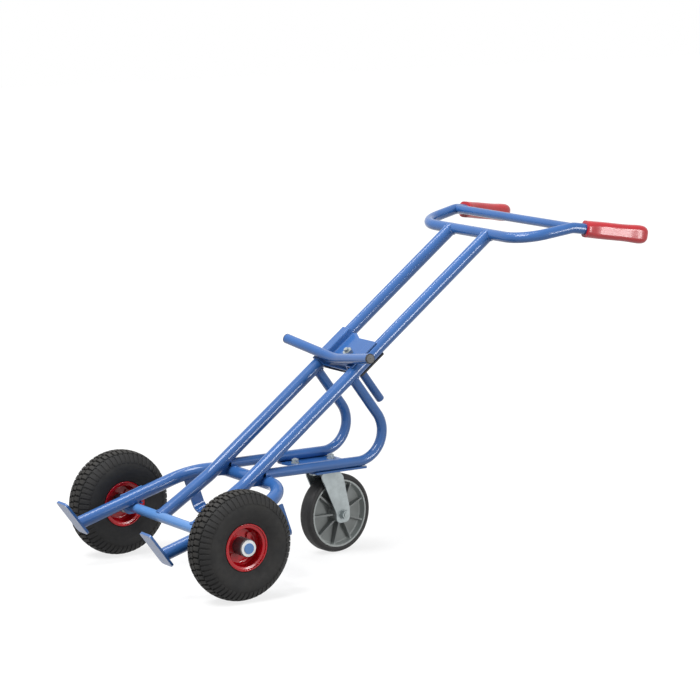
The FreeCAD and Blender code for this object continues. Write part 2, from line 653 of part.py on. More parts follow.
for side, sign in SIDES.items():
    body = new_body(f"toe_plate_{side}_body")
    front = "toe_plate_start + toe_plate_length"
    outline = [
        ("toe_plate_start", "-toe_plate_width / 2", "toe_plate_corner"),
        (front, "-toe_plate_width / 2", "toe_plate_corner"),
        (front, "toe_plate_width / 2", "toe_plate_corner"),
        ("toe_plate_start", "toe_plate_width / 2", "toe_plate_corner"),
    ]
    pad(body, draw(new_sketch(body, f"toe_plate_{side}_outline", "XY_Plane"), outline), "toe_plate_thickness")
    middle = -size("toe_plate_drop - toe_plate_thickness / 2")
    node(f"toe_plate_{side}", body, UPRIGHT * move(0, sign * size("fork_spacing / 2"), middle))

# Axle lugs: plates between the fork arms and the axle

for side, sign in SIDES.items():
    body = new_body(f"axle_lug_{side}_body")
    shoulder = "(lug_radius + lug_flare)"
    outline = [
        ("-lug_radius", "-lug_radius", "lug_radius - 1"),
        ("lug_radius", "-lug_radius", "lug_radius - 1"),
        (shoulder, f"fork_rise + lug_lap - {shoulder} * tan(fork_angle)"),
        (f"-{shoulder}", f"fork_rise + lug_lap + {shoulder} * tan(fork_angle)"),
    ]
    pad(body, draw(new_sketch(body, f"axle_lug_{side}_outline", "XZ_Plane"), outline), "lug_thickness")
    pocket(body, draw_circle(new_sketch(body, f"axle_lug_{side}_hole", "XZ_Plane"), "axle_diameter / 2 + weld_gap"))
    beside = size("fork_spacing / 2 + fork_diameter / 2 + lug_thickness / 2 + weld_gap")
    node(f"axle_lug_{side}", body, AXLE * move(y=sign * beside))

# Support legs

cross_place = fork_place * move(-size(f"fork_rear / {fork_lean}"))


def rail_core(name, sign):
    """Cylinder that copes a piece to the straight part of a rail."""
    middle = size("(rail_bend_height + handle_bar_height) / 2")
    place = UPRIGHT * move(-size("rail_setback"), sign * size("rail_spacing / 2"), middle)
    return cylinder(name, "rail_diameter / 2 + weld_gap", "handle_bar_height - rail_bend_height", place)


def cross_core(name):
    """Cylinder that copes a piece to the fork's cross part."""
    return cylinder(name, "fork_diameter / 2 + weld_gap", "fork_spacing", cross_place, "Y")


leg_down = (leg_root.z - size("leg_run_height")) / math.cos(math.radians(size("rail_angle")))
leg_knee_x = leg_root.x - leg_down * math.sin(math.radians(size("rail_angle")))
for side, sign in SIDES.items():
    route = [
        (str(leg_root.x), str(leg_root.z)),
        (str(leg_knee_x), "leg_run_height", "leg_bend_radius"),
        ("-fork_rear + 8", "leg_run_height"),
    ]
    body = bent_tube(f"leg_{side}", "XZ_Plane", route, "leg_diameter")
    body.Placement = FLOOR * move(y=sign * size("rail_spacing / 2"))
    copes = [rail_core(f"leg_{side}_rail_cope", sign), cross_core(f"leg_{side}_end_cope")]
    cut(f"leg_{side}_coped", body, copes, f"leg_{side}")

# Gussets between the rails and the fork's cross part

gussets = []
cross_centre = cross_place.Base
for side, sign in SIDES.items():
    body = new_body(f"gusset_{side}_body")
    outline = [
        ("fork_diameter / 4", "-gusset_drop"),
        ("gusset_reach", "-gusset_drop"),
        ("fork_diameter / 4", "gusset_height"),
    ]
    pad(body, draw(new_sketch(body, f"gusset_{side}_outline", "XZ_Plane"), outline), "gusset_thickness")
    body.Placement = move(cross_centre.x, sign * size("rail_spacing / 2"), cross_centre.z)
    copes = [rail_core(f"gusset_{side}_rail", sign), cross_core(f"gusset_{side}_cross")]
    gussets.append(cut(f"gusset_{side}", body, copes))
group("rail_gussets", gussets)

# Foot step: a flat bar bent to a U, its ends on the fork arms

step_body = new_body("foot_step_body")
inside = "fork_spacing / 2 - step_bar_thickness / 2"
outside = "fork_spacing / 2 + step_bar_thickness / 2"
outline = [
    (f"-({outside})", "0"),
    (f"-({outside})", "-step_drop - step_bar_thickness", "step_corner_radius + step_bar_thickness"),
    (f"{outside}", "-step_drop - step_bar_thickness", "step_corner_radius + step_bar_thickness"),
    (f"{outside}", "0"),
    (f"{inside}", "0"),
    (f"{inside}", "-step_drop", "step_corner_radius"),
    (f"-({inside})", "-step_drop", "step_corner_radius"),
    (f"-({inside})", "0"),
]
pad(step_body, draw(new_sketch(step_body, "foot_step_outline", "YZ_Plane"), outline), "step_bar_width")
step_height = size("fork_rise + step_position * tan(fork_angle)")
step_body.Placement = AXLE * move(-size("step_position"), 0, step_height) * turn(Y, size("step_tilt"))
arms = []
for side, sign in SIDES.items():
    arm_place = fork_place * move(-size("step_position"), sign * size("fork_spacing / 2"))
    arms.append(cylinder(f"step_cope_{side}", "fork_diameter / 2 + weld_gap", "4 * step_bar_width", arm_place, "X"))
cut("foot_step_coped", step_body, arms, "foot_step")

# Caster mounting plate under the legs

leg_underside = "leg_run_height - leg_diameter / 2"
plate_body = new_body("caster_mounting_plate_body")
half_length = "mount_plate_length / 2"
half_width = "mount_plate_width / 2"
inside_legs = "(rail_spacing / 2 - leg_diameter / 2 - 4)"
notch_back = f"{half_length} - mount_notch_depth"
outline = [
    (f"-{half_length}", f"-{half_width}", "mount_plate_corner"),
    (half_length, f"-{half_width}", "mount_plate_corner"),
    (half_length, f"-{inside_legs}", "2 * mount_plate_corner"),
    (notch_back, "-mount_notch_half", "mount_notch_depth"),
    (notch_back, "mount_notch_half", "mount_notch_depth"),
    (half_length, inside_legs, "2 * mount_plate_corner"),
    (half_length, half_width, "mount_plate_corner"),
    (f"-{half_length}", half_width, "mount_plate_corner"),
]
plate_sketch = draw(new_sketch(plate_body, "caster_mounting_plate_outline", "XY_Plane"), outline)
pad(plate_body, plate_sketch, "mount_plate_thickness")
hole_sketch = new_sketch(plate_body, "caster_mounting_plate_holes", "XY_Plane")
BOLT_SPOTS = []
for along_sign in (-1, 1):
    for across_sign in (-1, 1):
        spot = (f"{along_sign} * caster_bolt_length_spacing / 2", f"{across_sign} * caster_bolt_width_spacing / 2")
        BOLT_SPOTS.append(spot)
        draw_circle(hole_sketch, "plate_bolt_diameter / 2 + plate_hole_gap", *spot)
pocket(plate_body, hole_sketch)
swivel_floor = SHIFT * move(-size("swivel_offset"))
plate_height = size(f"{leg_underside} - mount_plate_thickness / 2")
node("caster_mounting_plate", plate_body, swivel_floor * move(z=plate_height))

# Caster top plate with its upper race, bolted under the mounting plate

plate_bottom = "leg_run_height - leg_diameter / 2 - mount_plate_thickness - caster_plate_thickness"
seal_bottom = "caster_crown_height + caster_sheet"
seal_top = f"{seal_bottom} + caster_seal_thickness"
top_body = new_body("caster_top_plate_body")
outline = [
    ("-caster_plate_length / 2", "-caster_plate_width / 2", "caster_plate_corner"),
    ("caster_plate_length / 2", "-caster_plate_width / 2", "caster_plate_corner"),
    ("caster_plate_length / 2", "caster_plate_width / 2", "caster_plate_corner"),
    ("-caster_plate_length / 2", "caster_plate_width / 2", "caster_plate_corner"),
]
plate_sketch = new_sketch(top_body, "caster_top_plate_outline", "XY_Plane", plate_bottom)
pad(top_body, draw(plate_sketch, outline), "caster_plate_thickness", middle=False)
race = [
    ("0", f"{plate_bottom} + 1"),
    ("0", seal_top),
    ("caster_head_radius - 3", seal_top),
    ("caster_head_radius + 2", f"{plate_bottom}"),
    ("caster_head_radius + 2", f"{plate_bottom} + 1"),
]
race_sketch = draw(new_sketch(top_body, "caster_upper_race", "XZ_Plane"), race)
race_turned = top_body.newObject("PartDesign::Revolution", "caster_upper_race_turned")
race_turned.Profile = race_sketch
race_turned.ReferenceAxis = (race_sketch, ["V_Axis"])
race_turned.Angle = 360
hole_sketch = new_sketch(top_body, "caster_top_plate_holes", "XY_Plane")
for spot in BOLT_SPOTS:
    draw_circle(hole_sketch, "plate_bolt_diameter / 2 + plate_hole_gap", *spot)
draw_circle(hole_sketch, "kingpin_radius + sleeve_gap")
pocket(top_body, hole_sketch)
node("caster_top_plate", top_body, swivel_floor)


def turned(name, corners, place=None):
    """Ring turned about the local Z axis. Corners are (radius, z)."""
    body = new_body(name + "_body")
    profile = draw(new_sketch(body, name + "_profile", "XZ_Plane"), corners)
    feature = body.newObject("PartDesign::Revolution", name + "_turned")
    feature.Profile = profile
    feature.ReferenceAxis = (profile, ["V_Axis"])
    feature.Angle = 360
    if place is not None:
        body.Placement = place
    return body


pin_shoulder = "caster_crown_height - running_gap"
pin_bottom = f"{pin_shoulder} - kingpin_head_height"
kingpin = [
    ("0", pin_bottom),
    ("kingpin_head_radius - 2", pin_bottom),
    ("kingpin_head_radius", f"{pin_bottom} + 2"),
    ("kingpin_head_radius", pin_shoulder),
    ("kingpin_radius", pin_shoulder),
    ("kingpin_radius", f"{plate_bottom} + caster_plate_thickness"),
    ("0", f"{plate_bottom} + caster_plate_thickness"),
]
node("caster_kingpin", turned("caster_kingpin", kingpin), swivel_floor)
seal = [
    ("caster_head_radius - 10", f"{seal_bottom} + 2 * weld_gap"),
    ("caster_head_radius - 1", f"{seal_bottom} + 2 * weld_gap"),
    ("caster_head_radius", f"{seal_bottom} + 1.5"),
    ("caster_head_radius - 2.5", f"{seal_top} - running_gap"),
    ("caster_head_radius - 10", f"{seal_top} - running_gap"),
]
node("caster_seal", turned("caster_seal", seal), SWIVEL)
balls = []
ball_count = round(size("swivel_ball_count"))
ball_spot = move(size("swivel_ball_ring"), 0, size(f"{seal_bottom} + caster_seal_thickness / 2"))
for index in range(ball_count):
    ball = doc.addObject("Part::Sphere", f"swivel_ball_{index}")
    bind(ball, Radius="(caster_seal_thickness - running_gap) / 2")
    ball.Placement = turn(Z, 360 / ball_count * index) * ball_spot
    balls.append(ball)
group("caster_swivel_balls", balls).Placement = SWIVEL

# Caster bolts, washers and nuts: heads under the top plate, nuts on the mounting plate

plate_top = "leg_run_height - leg_diameter / 2"
bolts = []
washers = []
nuts = []
for index, spot in enumerate(BOLT_SPOTS):
    foot = swivel_floor * move(size(spot[0]), size(spot[1]))
    plates = "mount_plate_thickness + caster_plate_thickness"
    shank = doc.addObject("Part::Cylinder", f"plate_shank_{index}")
    bind(shank, Radius="plate_bolt_diameter / 2")
    bind(shank, Height=f"{plates} + plate_washer_thickness + plate_nut_height + bolt_end")
    shank.Placement = foot * move(z=size(plate_bottom))
    head_place = foot * move(z=size(f"{plate_bottom} - plate_bolt_head"))
    head = hexagon(f"plate_head_{index}", "plate_bolt_flats", "plate_bolt_head", head_place)
    bolts.append(fused(f"plate_bolt_{index}", [shank, head]))
    bore = "plate_bolt_diameter / 2 + sleeve_gap"
    ring = [
        (bore, "0"),
        ("plate_washer_radius", "0"),
        ("plate_washer_radius", "plate_washer_thickness"),
        (bore, "plate_washer_thickness"),
    ]
    washers.append(turned(f"plate_washer_{index}", ring, foot * move(z=size(plate_top))))
    nut_place = foot * move(z=size(f"{plate_top} + plate_washer_thickness"))
    nut = hexagon(f"plate_nut_{index}", "plate_bolt_flats", "plate_nut_height", nut_place)
    bored = cylinder(f"plate_nut_bore_{index}", bore, "4 * plate_nut_height", nut_place)
    nuts.append(cut(f"plate_nut_bored_{index}", nut, [bored]))
group("caster_bolts", bolts)
group("caster_washers", washers)
group("caster_nuts", nuts)

# Caster fork: crown and two tapered legs of bent sheet

leg_inside = "caster_hub_length / 2 + plate_hole_gap"
leg_front = "-caster_trail + caster_leg_half_width"
leg_rear = "-caster_trail - caster_leg_half_width"
leg_foot = "caster_wheel_diameter / 2 - caster_leg_half_width"
fork_body = new_body("caster_fork_body")
side_outline = [
    ("caster_crown_front", "caster_crown_height + caster_sheet", "5"),
    ("caster_crown_front - 4", "caster_crown_height - 12", "20"),
    (leg_front, "caster_wheel_diameter / 2 + 4", "14"),
    (leg_front, leg_foot, "14"),
    (leg_rear, leg_foot, "14"),
    (leg_rear, "caster_wheel_diameter / 2 + 12", "20"),
    ("-caster_trail", "caster_crown_height - 9", "10"),
    ("-caster_crown_rear", "caster_crown_height + caster_sheet", "5"),
]
side_sketch = draw(new_sketch(fork_body, "caster_fork_side", "XZ_Plane"), side_outline)
pad(fork_body, side_sketch, f"2 * ({leg_inside} + caster_sheet)")
window = [
    ("2 * caster_crown_front", "0"),
    ("2 * caster_crown_front", "caster_crown_height"),
    ("-2 * caster_trail", "caster_crown_height"),
    ("-2 * caster_trail", "0"),
]
window_sketch = draw(new_sketch(fork_body, "caster_fork_window", "XZ_Plane"), window)
opened = fork_body.newObject("PartDesign::Pocket", "caster_fork_opened")
opened.Profile = window_sketch
opened.Midplane = True
bind(opened, Length=f"2 * ({leg_inside})")
pocket(fork_body, draw_circle(
    new_sketch(fork_body, "caster_fork_axle_hole", "XZ_Plane"),
    "caster_axle_diameter / 2 + sleeve_gap", "-caster_trail", "caster_wheel_diameter / 2",
))
pin_hole = new_sketch(fork_body, "caster_fork_pin_hole", "XY_Plane")
pocket(fork_body, draw_circle(pin_hole, "kingpin_radius + sleeve_gap"))
node("caster_fork", fork_body, SWIVEL)

# Caster axle: bolt, sleeve, washers and nut

face = f"{leg_inside} + caster_sheet"
tail = "caster_washer_thickness + caster_nut_height + bolt_end"
bolt_place = CASTER_AXLE * move(y=size(f"({tail}) / 2"))
bolt = cylinder("caster_bolt_shank", "caster_axle_diameter / 2", f"2 * ({face}) + {tail}", bolt_place, "Y")
bolt_head_place = CASTER_AXLE * move(y=-size(face)) * turn(X, 90)
head = hexagon("caster_bolt_head", "caster_nut_flats", "caster_bolt_head", bolt_head_place)
node("caster_axle_bolt", fused("caster_axle_bolt_whole", [bolt, head]))
nut_place = CASTER_AXLE * move(y=size(f"{face} + caster_washer_thickness")) * turn(X, -90)
nut = hexagon("caster_nut_stock", "caster_nut_flats", "caster_nut_height", nut_place)
bored = cylinder("caster_nut_bore", "caster_axle_diameter / 2 + sleeve_gap", f"4 * ({face})", CASTER_AXLE, "Y")
cut("caster_axle_nut_bored", nut, [bored], "caster_axle_nut")


def sleeve(name, inner, outer, half, place):
    corners = [(inner, f"-({half})"), (outer, f"-({half})"), (outer, half), (inner, half)]
    body = revolve(name, corners, None)
    body.Placement = place
    return body


axle_bore = "caster_axle_diameter / 2 + sleeve_gap"
node("caster_axle_sleeve", sleeve("caster_axle_sleeve", axle_bore, "caster_sleeve_radius", leg_inside, CASTER_AXLE))
ring_place = CASTER_AXLE * move(y=size(f"{face} + caster_washer_thickness / 2"))
ring_half = "caster_washer_thickness / 2"
node("caster_axle_washer", sleeve("caster_axle_washer", axle_bore, "caster_washer_radius", ring_half, ring_place))

# Caster wheel: roller bearing, ribbed centre and tyre

sleeve_bore = "caster_sleeve_radius + sleeve_gap"
bearing_half = "caster_hub_length / 2 - 0.2"
node("caster_bearing", sleeve("caster_bearing", sleeve_bore, "caster_sleeve_radius + 4", bearing_half, CASTER_AXLE))
centre_body = new_body("caster_wheel_centre_body")
rim_inside = "caster_rim_radius - 7"
centre = [
    ("caster_sleeve_radius + 4 + sleeve_gap", "-caster_hub_length / 2 + 0.2"),
    ("caster_hub_radius", "-caster_hub_length / 2 + 0.2"),
    ("caster_hub_radius + 2", "-5", "3"),
    (rim_inside, "-4", "3"),
    (f"{rim_inside} + 3", "-caster_wheel_width / 2 + 2"),
    ("caster_rim_radius", "-caster_wheel_width / 2 + 2"),
    ("caster_rim_radius", "caster_wheel_width / 2 - 2"),
    (f"{rim_inside} + 3", "caster_wheel_width / 2 - 2"),
    (rim_inside, "4", "3"),
    ("caster_hub_radius + 2", "5", "3"),
    ("caster_hub_radius", "caster_hub_length / 2 - 0.2"),
    ("caster_sleeve_radius + 4 + sleeve_gap", "caster_hub_length / 2 - 0.2"),
]
centre_turned = centre_body.newObject("PartDesign::Revolution", "caster_wheel_centre_turned")
centre_turned.Profile = draw(new_sketch(centre_body, "caster_wheel_centre_profile", "XY_Plane"), centre)
centre_turned.ReferenceAxis = (centre_turned.Profile[0], ["V_Axis"])
centre_turned.Angle = 360
rib = [
    ("caster_hub_radius - 2", "-caster_hub_length / 2 + 6"),
    (f"{rim_inside} + 4", "-caster_wheel_width / 2 + 7"),
    (f"{rim_inside} + 4", "caster_wheel_width / 2 - 7"),
    ("caster_hub_radius - 2", "caster_hub_length / 2 - 6"),
]
rib_pad = pad(centre_body, draw(new_sketch(centre_body, "caster_wheel_rib", "XY_Plane"), rib), "4.5")
pattern = centre_body.newObject("PartDesign::PolarPattern", "caster_wheel_ribs")
pattern.Originals = [rib_pad]
pattern.Axis = (centre_turned.Profile[0], ["V_Axis"])
pattern.Angle = 360
bind(pattern, Occurrences="caster_rib_count")
centre_body.Tip = pattern
node("caster_wheel_centre", centre_body, CASTER_AXLE)
caster_tyre = [
    ("caster_rim_radius + weld_gap", "-caster_wheel_width / 2 + 2"),
    ("caster_wheel_diameter / 2 - 9", "-caster_wheel_width / 2", "4"),
    ("caster_wheel_diameter / 2 - 3", "-caster_wheel_width / 2 + 2", "4"),
    ("caster_wheel_diameter / 2", "-caster_wheel_width / 2 + 10", "8"),
    ("caster_wheel_diameter / 2", "caster_wheel_width / 2 - 10", "8"),
    ("caster_wheel_diameter / 2 - 3", "caster_wheel_width / 2 - 2", "4"),
    ("caster_wheel_diameter / 2 - 9", "caster_wheel_width / 2", "4"),
    ("caster_rim_radius + weld_gap", "caster_wheel_width / 2 - 2"),
]
revolve("caster_tyre", caster_tyre, CASTER_AXLE, "caster_tyre")

# Handle: one tube bent in space, its two ends inside the grips


def handle_points():
    """Corner points of the handle's centre line in the floor frame, from the right grip's end to the left one's."""
    half = size("handle_spacing / 2")
    spread = tangent(size("handle_splay"))
    corner = FreeCAD.Vector(bar_middle.x, half, bar_middle.z)
    bend = corner + FreeCAD.Vector(arm_run, -arm_run * spread, arm_climb)
    tube_run, tube_climb = along(1, -size("grip_droop"))
    tube_line = FreeCAD.Vector(tube_run, -tube_run * spread, tube_climb).normalize()
    left = [bend + tube_line * (grip_reach - size("grip_tube_end")), bend, corner]
    return [FreeCAD.Vector(p.x, -p.y, p.z) for p in left] + left[::-1]


def bent_wire(points, radii):
    """Wire through the points, with an arc of the given radius at each inner one."""
    edges = []
    last = points[0]
    for before, corner, after, radius in zip(points, points[1:], points[2:], radii):
        into = (before - corner).normalize()
        out = (after - corner).normalize()
        half = into.getAngle(out) / 2
        reach = radius / math.tan(half)
        start = corner + into * reach
        stop = corner + out * reach
        centre = corner + (into + out).normalize() * (radius / math.sin(half))
        middle = centre + (corner - centre).normalize() * radius
        edges.append(Part.LineSegment(last, start).toShape())
        edges.append(Part.Arc(start, middle, stop).toShape())
        last = stop
    edges.append(Part.LineSegment(last, points[-1]).toShape())
    return Part.Wire(edges)


def swept_round(wire, points, radius):
    section = Part.Wire([Part.makeCircle(radius, points[0], points[1] - points[0])])
    return wire.makePipeShell([section], True, False)


handle_line = handle_points()
bends = [size(f"{name}_radius") for name in ("handle_rear_bend", "handle_bend", "handle_bend", "handle_rear_bend")]
handle_wire = bent_wire(handle_line, bends)
handle_outside = swept_round(handle_wire, handle_line, size("handle_diameter / 2"))
handle_inside = swept_round(handle_wire, handle_line, size("handle_diameter / 2 - tube_wall"))
handle = doc.addObject("Part::Feature", "handle")
handle.Shape = handle_outside.cut(handle_inside)
node("handle_tube", handle, FLOOR)

# Rear cross bar between the handle arms

bar_end = handle_line[-2]
cross_place = FLOOR * move(bar_end.x, 0, bar_end.z + size("cross_bar_lift"))
stock = cylinder("cross_bar_stock", "cross_bar_diameter / 2", str(2 * bar_end.y), cross_place, "Y")
handle_core = doc.addObject("Part::Feature", "handle_core")
handle_core.Shape = swept_round(handle_wire, handle_line, size("handle_diameter / 2 + weld_gap"))
handle_core.Placement = FLOOR
bar_cut = cut("cross_bar_coped", stock, [handle_core])
bore = cylinder("cross_bar_bore", "cross_bar_diameter / 2 - tube_wall", str(2 * bar_end.y), cross_place, "Y")
cut("cross_bar_hollow", bar_cut, [bore], "handle_cross_bar")

# Grips: a flared collar, an oval body and a rounded end with a raised lip

# Each section is (way from the front end, wider on each side, taller on each side).
GRIP_SECTIONS = [
    ("0", "3", "-0.8"),
    ("9", "3.5", "-0.5"),
    ("22", "1.5", "-0.3"),
    ("60", "0", "0"),
    ("grip_length - 44", "0", "0.6"),
    ("grip_length - 22", "1", "1.5"),
    ("grip_length - 7", "-1.5", "-1.5"),
    ("grip_length", "-7", "-9"),
]
for side, sign in SIDES.items():
    body = new_body(f"grip_{side}_body")
    sections = []
    for index, (reach, wider, taller) in enumerate(GRIP_SECTIONS):
        sketch = new_sketch(body, f"grip_{side}_section_{index}", "XY_Plane", reach)
        half_wide = f"grip_body_width / 2 + {wider}"
        half_tall = f"grip_body_height / 2 + {taller}"
        round_off = f"({half_wide}) * 0.8"
        box = [
            (f"-({half_tall})", f"-({half_wide})", round_off),
            (half_tall, f"-({half_wide})", round_off),
            (half_tall, half_wide, round_off),
            (f"-({half_tall})", half_wide, round_off),
        ]
        sections.append(draw(sketch, box))
    loft = body.newObject("PartDesign::AdditiveLoft", f"grip_{side}_loft")
    loft.Profile = sections[0]
    loft.Sections = sections[1:]
    bore_sketch = draw_circle(new_sketch(body, f"grip_{side}_bore", "XY_Plane"), "handle_diameter / 2 + weld_gap")
    hole = body.newObject("PartDesign::Pocket", f"grip_{side}_hole")
    hole.Profile = bore_sketch
    hole.Reversed = True
    bind(hole, Length="grip_length - grip_hole_end")
    bend = handle_line[-2]
    end = handle_line[-1]
    line = (end - bend).normalize()
    line = FreeCAD.Vector(line.x, sign * line.y, line.z)
    up = (Z - line * line.z).normalize()
    across = line.cross(up)
    rotation = FreeCAD.Rotation(up, across, line, "ZXY")
    start = FreeCAD.Vector(bend.x, sign * bend.y, bend.z) + line * size("grip_start")
    node(f"grip_{side}", body, FLOOR * FreeCAD.Placement(start, rotation))

# Carriage: a hat section over the two rails

carriage_body = new_body("carriage_plate_body")
front = "slide_gap + carriage_sheet"
floor_back = "slide_gap - carriage_pocket_depth"
pocket_half = "rail_spacing / 2 - rail_diameter / 2 - 3.5"
flange_half = "carriage_flange_width"
hat = [
    (front, f"-({flange_half})"),
    (front, f"-({pocket_half})", "4"),
    (f"{floor_back} + carriage_sheet", f"-({pocket_half} - 4)", "4"),
    (f"{floor_back} + carriage_sheet", f"{pocket_half} - 4", "4"),
    (front, pocket_half, "4"),
    (front, flange_half),
    ("slide_gap", flange_half),
    ("slide_gap", f"{pocket_half} + carriage_sheet", "1"),
    (floor_back, f"{pocket_half} - 4 + carriage_sheet", "7"),
    (floor_back, f"-({pocket_half} - 4 + carriage_sheet)", "7"),
    ("slide_gap", f"-({pocket_half} + carriage_sheet)", "1"),
    ("slide_gap", f"-({flange_half})"),
]
hat_sketch = draw(new_sketch(carriage_body, "carriage_hat", "XY_Plane", "carriage_position"), hat)
pad(carriage_body, hat_sketch, "carriage_far_length + 6", middle=False)
flange_edge = "(2 * carriage_flange_width)"
fold_edge = "(rail_spacing / 2 - rail_diameter / 2 - 5)"
near_top = "carriage_position + carriage_near_length"
floor_top = "carriage_position + carriage_floor_length"
far_top = "carriage_position + carriage_far_length"
top_edge = [
    (f"-{flange_edge}", far_top),
    (f"-{fold_edge}", far_top),
    (f"-{fold_edge} + 12", f"{far_top} + 4"),
    ("-carriage_pocket_depth", floor_top),
    (f"{fold_edge} - 5", floor_top),
    (fold_edge, near_top),
    (flange_edge, near_top),
    (flange_edge, f"{far_top} + carriage_near_length"),
    (f"-{flange_edge}", f"{far_top} + carriage_near_length"),
]
top_cut = new_sketch(carriage_body, "carriage_top_edge", "YZ_Plane")
pocket(carriage_body, draw(top_cut, top_edge))
screw_hole = new_sketch(carriage_body, "carriage_screw_hole", "YZ_Plane")
pocket(carriage_body, draw_circle(screw_hole, "clamp_screw_diameter / 2 + plate_hole_gap", "0", "clamp_position"))
node("carriage_plate", carriage_body, UPRIGHT)

# Saddle tube: a shallow V with a round middle, square to the rails

slope = "saddle_depth / saddle_half_span"
saddle_lift = f"{front} + weld_gap + saddle_diameter / 2 * sqrt(1 + ({slope}) ^ 2) - ({pocket_half}) * {slope}"
saddle_route = [
    (f"{saddle_lift} + saddle_depth", "-saddle_half_span"),
    (saddle_lift, "0", "saddle_bend_radius"),
    (f"{saddle_lift} + saddle_depth", "saddle_half_span"),
]
saddle_body = bent_tube("saddle_tube", "XY_Plane", saddle_route, "saddle_diameter")
node("saddle_tube", saddle_body, UPRIGHT * move(z=size("saddle_position")))
plug_radius = "saddle_diameter / 2 - tube_wall - sleeve_gap"
plug = [
    ("0", "-cap_depth"),
    (f"{plug_radius} - 1", "-cap_depth"),
    (plug_radius, "-cap_depth + 2"),
    (plug_radius, "weld_gap"),
    ("saddle_diameter / 2 - weld_gap", "weld_gap"),
    ("saddle_diameter / 2 - weld_gap", "cap_height / 2"),
    ("saddle_diameter / 2 - 2.5", "cap_height - 0.5"),
    ("0", "cap_height"),
]
for side, sign in SIDES.items():
    tip = UPRIGHT * move(size(f"{saddle_lift} + saddle_depth"), sign * size("saddle_half_span"), size("saddle_position"))
    aim = FreeCAD.Rotation(Z, FreeCAD.Vector(size(slope), sign, 0))
    cap = turned(f"saddle_cap_{side}", plug)
    node(f"saddle_cap_{side}", cap, tip * FreeCAD.Placement(FreeCAD.Vector(), aim))

# Clamp: nut on the carriage, plate behind the rails, screw and tube handle

FORWARD = UPRIGHT * move(z=size("clamp_position")) * turn(Y, 90)
nut_place = FORWARD * move(z=size(f"{floor_back} + carriage_sheet + weld_gap"))
nut = hexagon("clamp_nut_stock", "clamp_nut_flats", "clamp_nut_height", nut_place)
bored = cylinder("clamp_nut_bore", "clamp_screw_diameter / 2 + sleeve_gap", "4 * clamp_nut_height", nut_place)
cut("clamp_nut_bored", nut, [bored], "clamp_nut")
rail_back = "-rail_setback - rail_diameter / 2"
plate_back = f"{rail_back} - slide_gap - clamp_plate_thickness"
clamp_body = new_body("clamp_plate_body")
outline = [
    ("-clamp_plate_width / 2", "-clamp_plate_length / 2", "clamp_plate_corner"),
    ("clamp_plate_width / 2", "-clamp_plate_length / 2", "clamp_plate_corner"),
    ("clamp_plate_width / 2", "clamp_plate_length / 2", "clamp_plate_corner"),
    ("-clamp_plate_width / 2", "clamp_plate_length / 2", "clamp_plate_corner"),
]
clamp_sketch = new_sketch(clamp_body, "clamp_plate_outline", "YZ_Plane", plate_back)
pad(clamp_body, draw(clamp_sketch, outline), "clamp_plate_thickness", middle=False)
clamp_hole = new_sketch(clamp_body, "clamp_plate_hole", "YZ_Plane")
pocket(clamp_body, draw_circle(clamp_hole, "clamp_screw_diameter / 2 + sleeve_gap"))
node("clamp_plate", clamp_body, UPRIGHT * move(z=size("clamp_position")))
handle_start = f"{plate_back} - clamp_collar"
handle_end = "-rail_setback - clamp_handle_reach"
screw = [
    ("0", "0"),
    ("clamp_screw_diameter / 2 - 1", "0"),
    ("clamp_screw_diameter / 2", "-1.5"),
    ("clamp_screw_diameter / 2", f"{plate_back} - ({front})"),
    ("clamp_handle_diameter / 2", f"{plate_back} - ({front})"),
    ("clamp_handle_diameter / 2", f"{handle_start} - ({front})"),
    ("clamp_screw_diameter / 2", f"{handle_start} - ({front})"),
    ("clamp_screw_diameter / 2", f"{handle_start} - ({front}) - clamp_socket"),
    ("0", f"{handle_start} - ({front}) - clamp_socket"),
]
node("clamp_screw", turned("clamp_screw", screw), FORWARD * move(z=size(front)))
grip = [
    ("clamp_screw_diameter / 2 + sleeve_gap", handle_start),
    ("clamp_handle_diameter / 2 - 1", handle_start),
    ("clamp_handle_diameter / 2", f"{handle_start} - 1"),
    ("clamp_handle_diameter / 2", handle_end, "4"),
    ("0", handle_end),
    ("0", f"{handle_start} - clamp_socket - 1"),
    ("clamp_screw_diameter / 2 + sleeve_gap", f"{handle_start} - clamp_socket - 1"),
]
node("clamp_handle", turned("clamp_handle", grip), FORWARD)

# Checks and export

doc.recompute()
for thing in doc.Objects:
    if "Invalid" in thing.State or "Error" in thing.State:
        raise RuntimeError(f"{thing.Name} failed to build")
for name, thing in NODES.items():
    if thing.Shape.isNull() or not thing.Shape.isValid() or not thing.Shape.Solids:
        raise RuntimeError(f"{name} has no valid solid")
os.makedirs("parts", exist_ok=True)
for name, thing in NODES.items():
    thing.Shape.exportStep(f"parts/{name}.step")
print(len(NODES), "sub-parts written")
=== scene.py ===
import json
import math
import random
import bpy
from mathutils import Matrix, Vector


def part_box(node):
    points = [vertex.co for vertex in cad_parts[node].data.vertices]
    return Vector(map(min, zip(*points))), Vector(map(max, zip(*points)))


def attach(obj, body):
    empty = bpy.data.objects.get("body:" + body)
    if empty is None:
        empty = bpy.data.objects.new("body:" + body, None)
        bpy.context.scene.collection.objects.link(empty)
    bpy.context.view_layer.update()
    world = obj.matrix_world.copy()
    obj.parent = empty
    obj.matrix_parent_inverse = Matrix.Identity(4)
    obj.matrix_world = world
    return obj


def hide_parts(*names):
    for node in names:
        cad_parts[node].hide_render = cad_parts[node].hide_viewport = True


bl_info = {
    "name": "Drum Trolley",
    "version": (1, 0, 0),
    "blender": (4, 5, 0),
    "location": "View3D > Sidebar > Trolley",
    "description": "Dresses a drum trolley: paint, block tread tyres, weld beads and a pale studio",
    "category": "Add Mesh",
}

import bmesh
import bpy
from bpy.props import FloatProperty, FloatVectorProperty, IntProperty, PointerProperty
from mathutils import Matrix, Vector

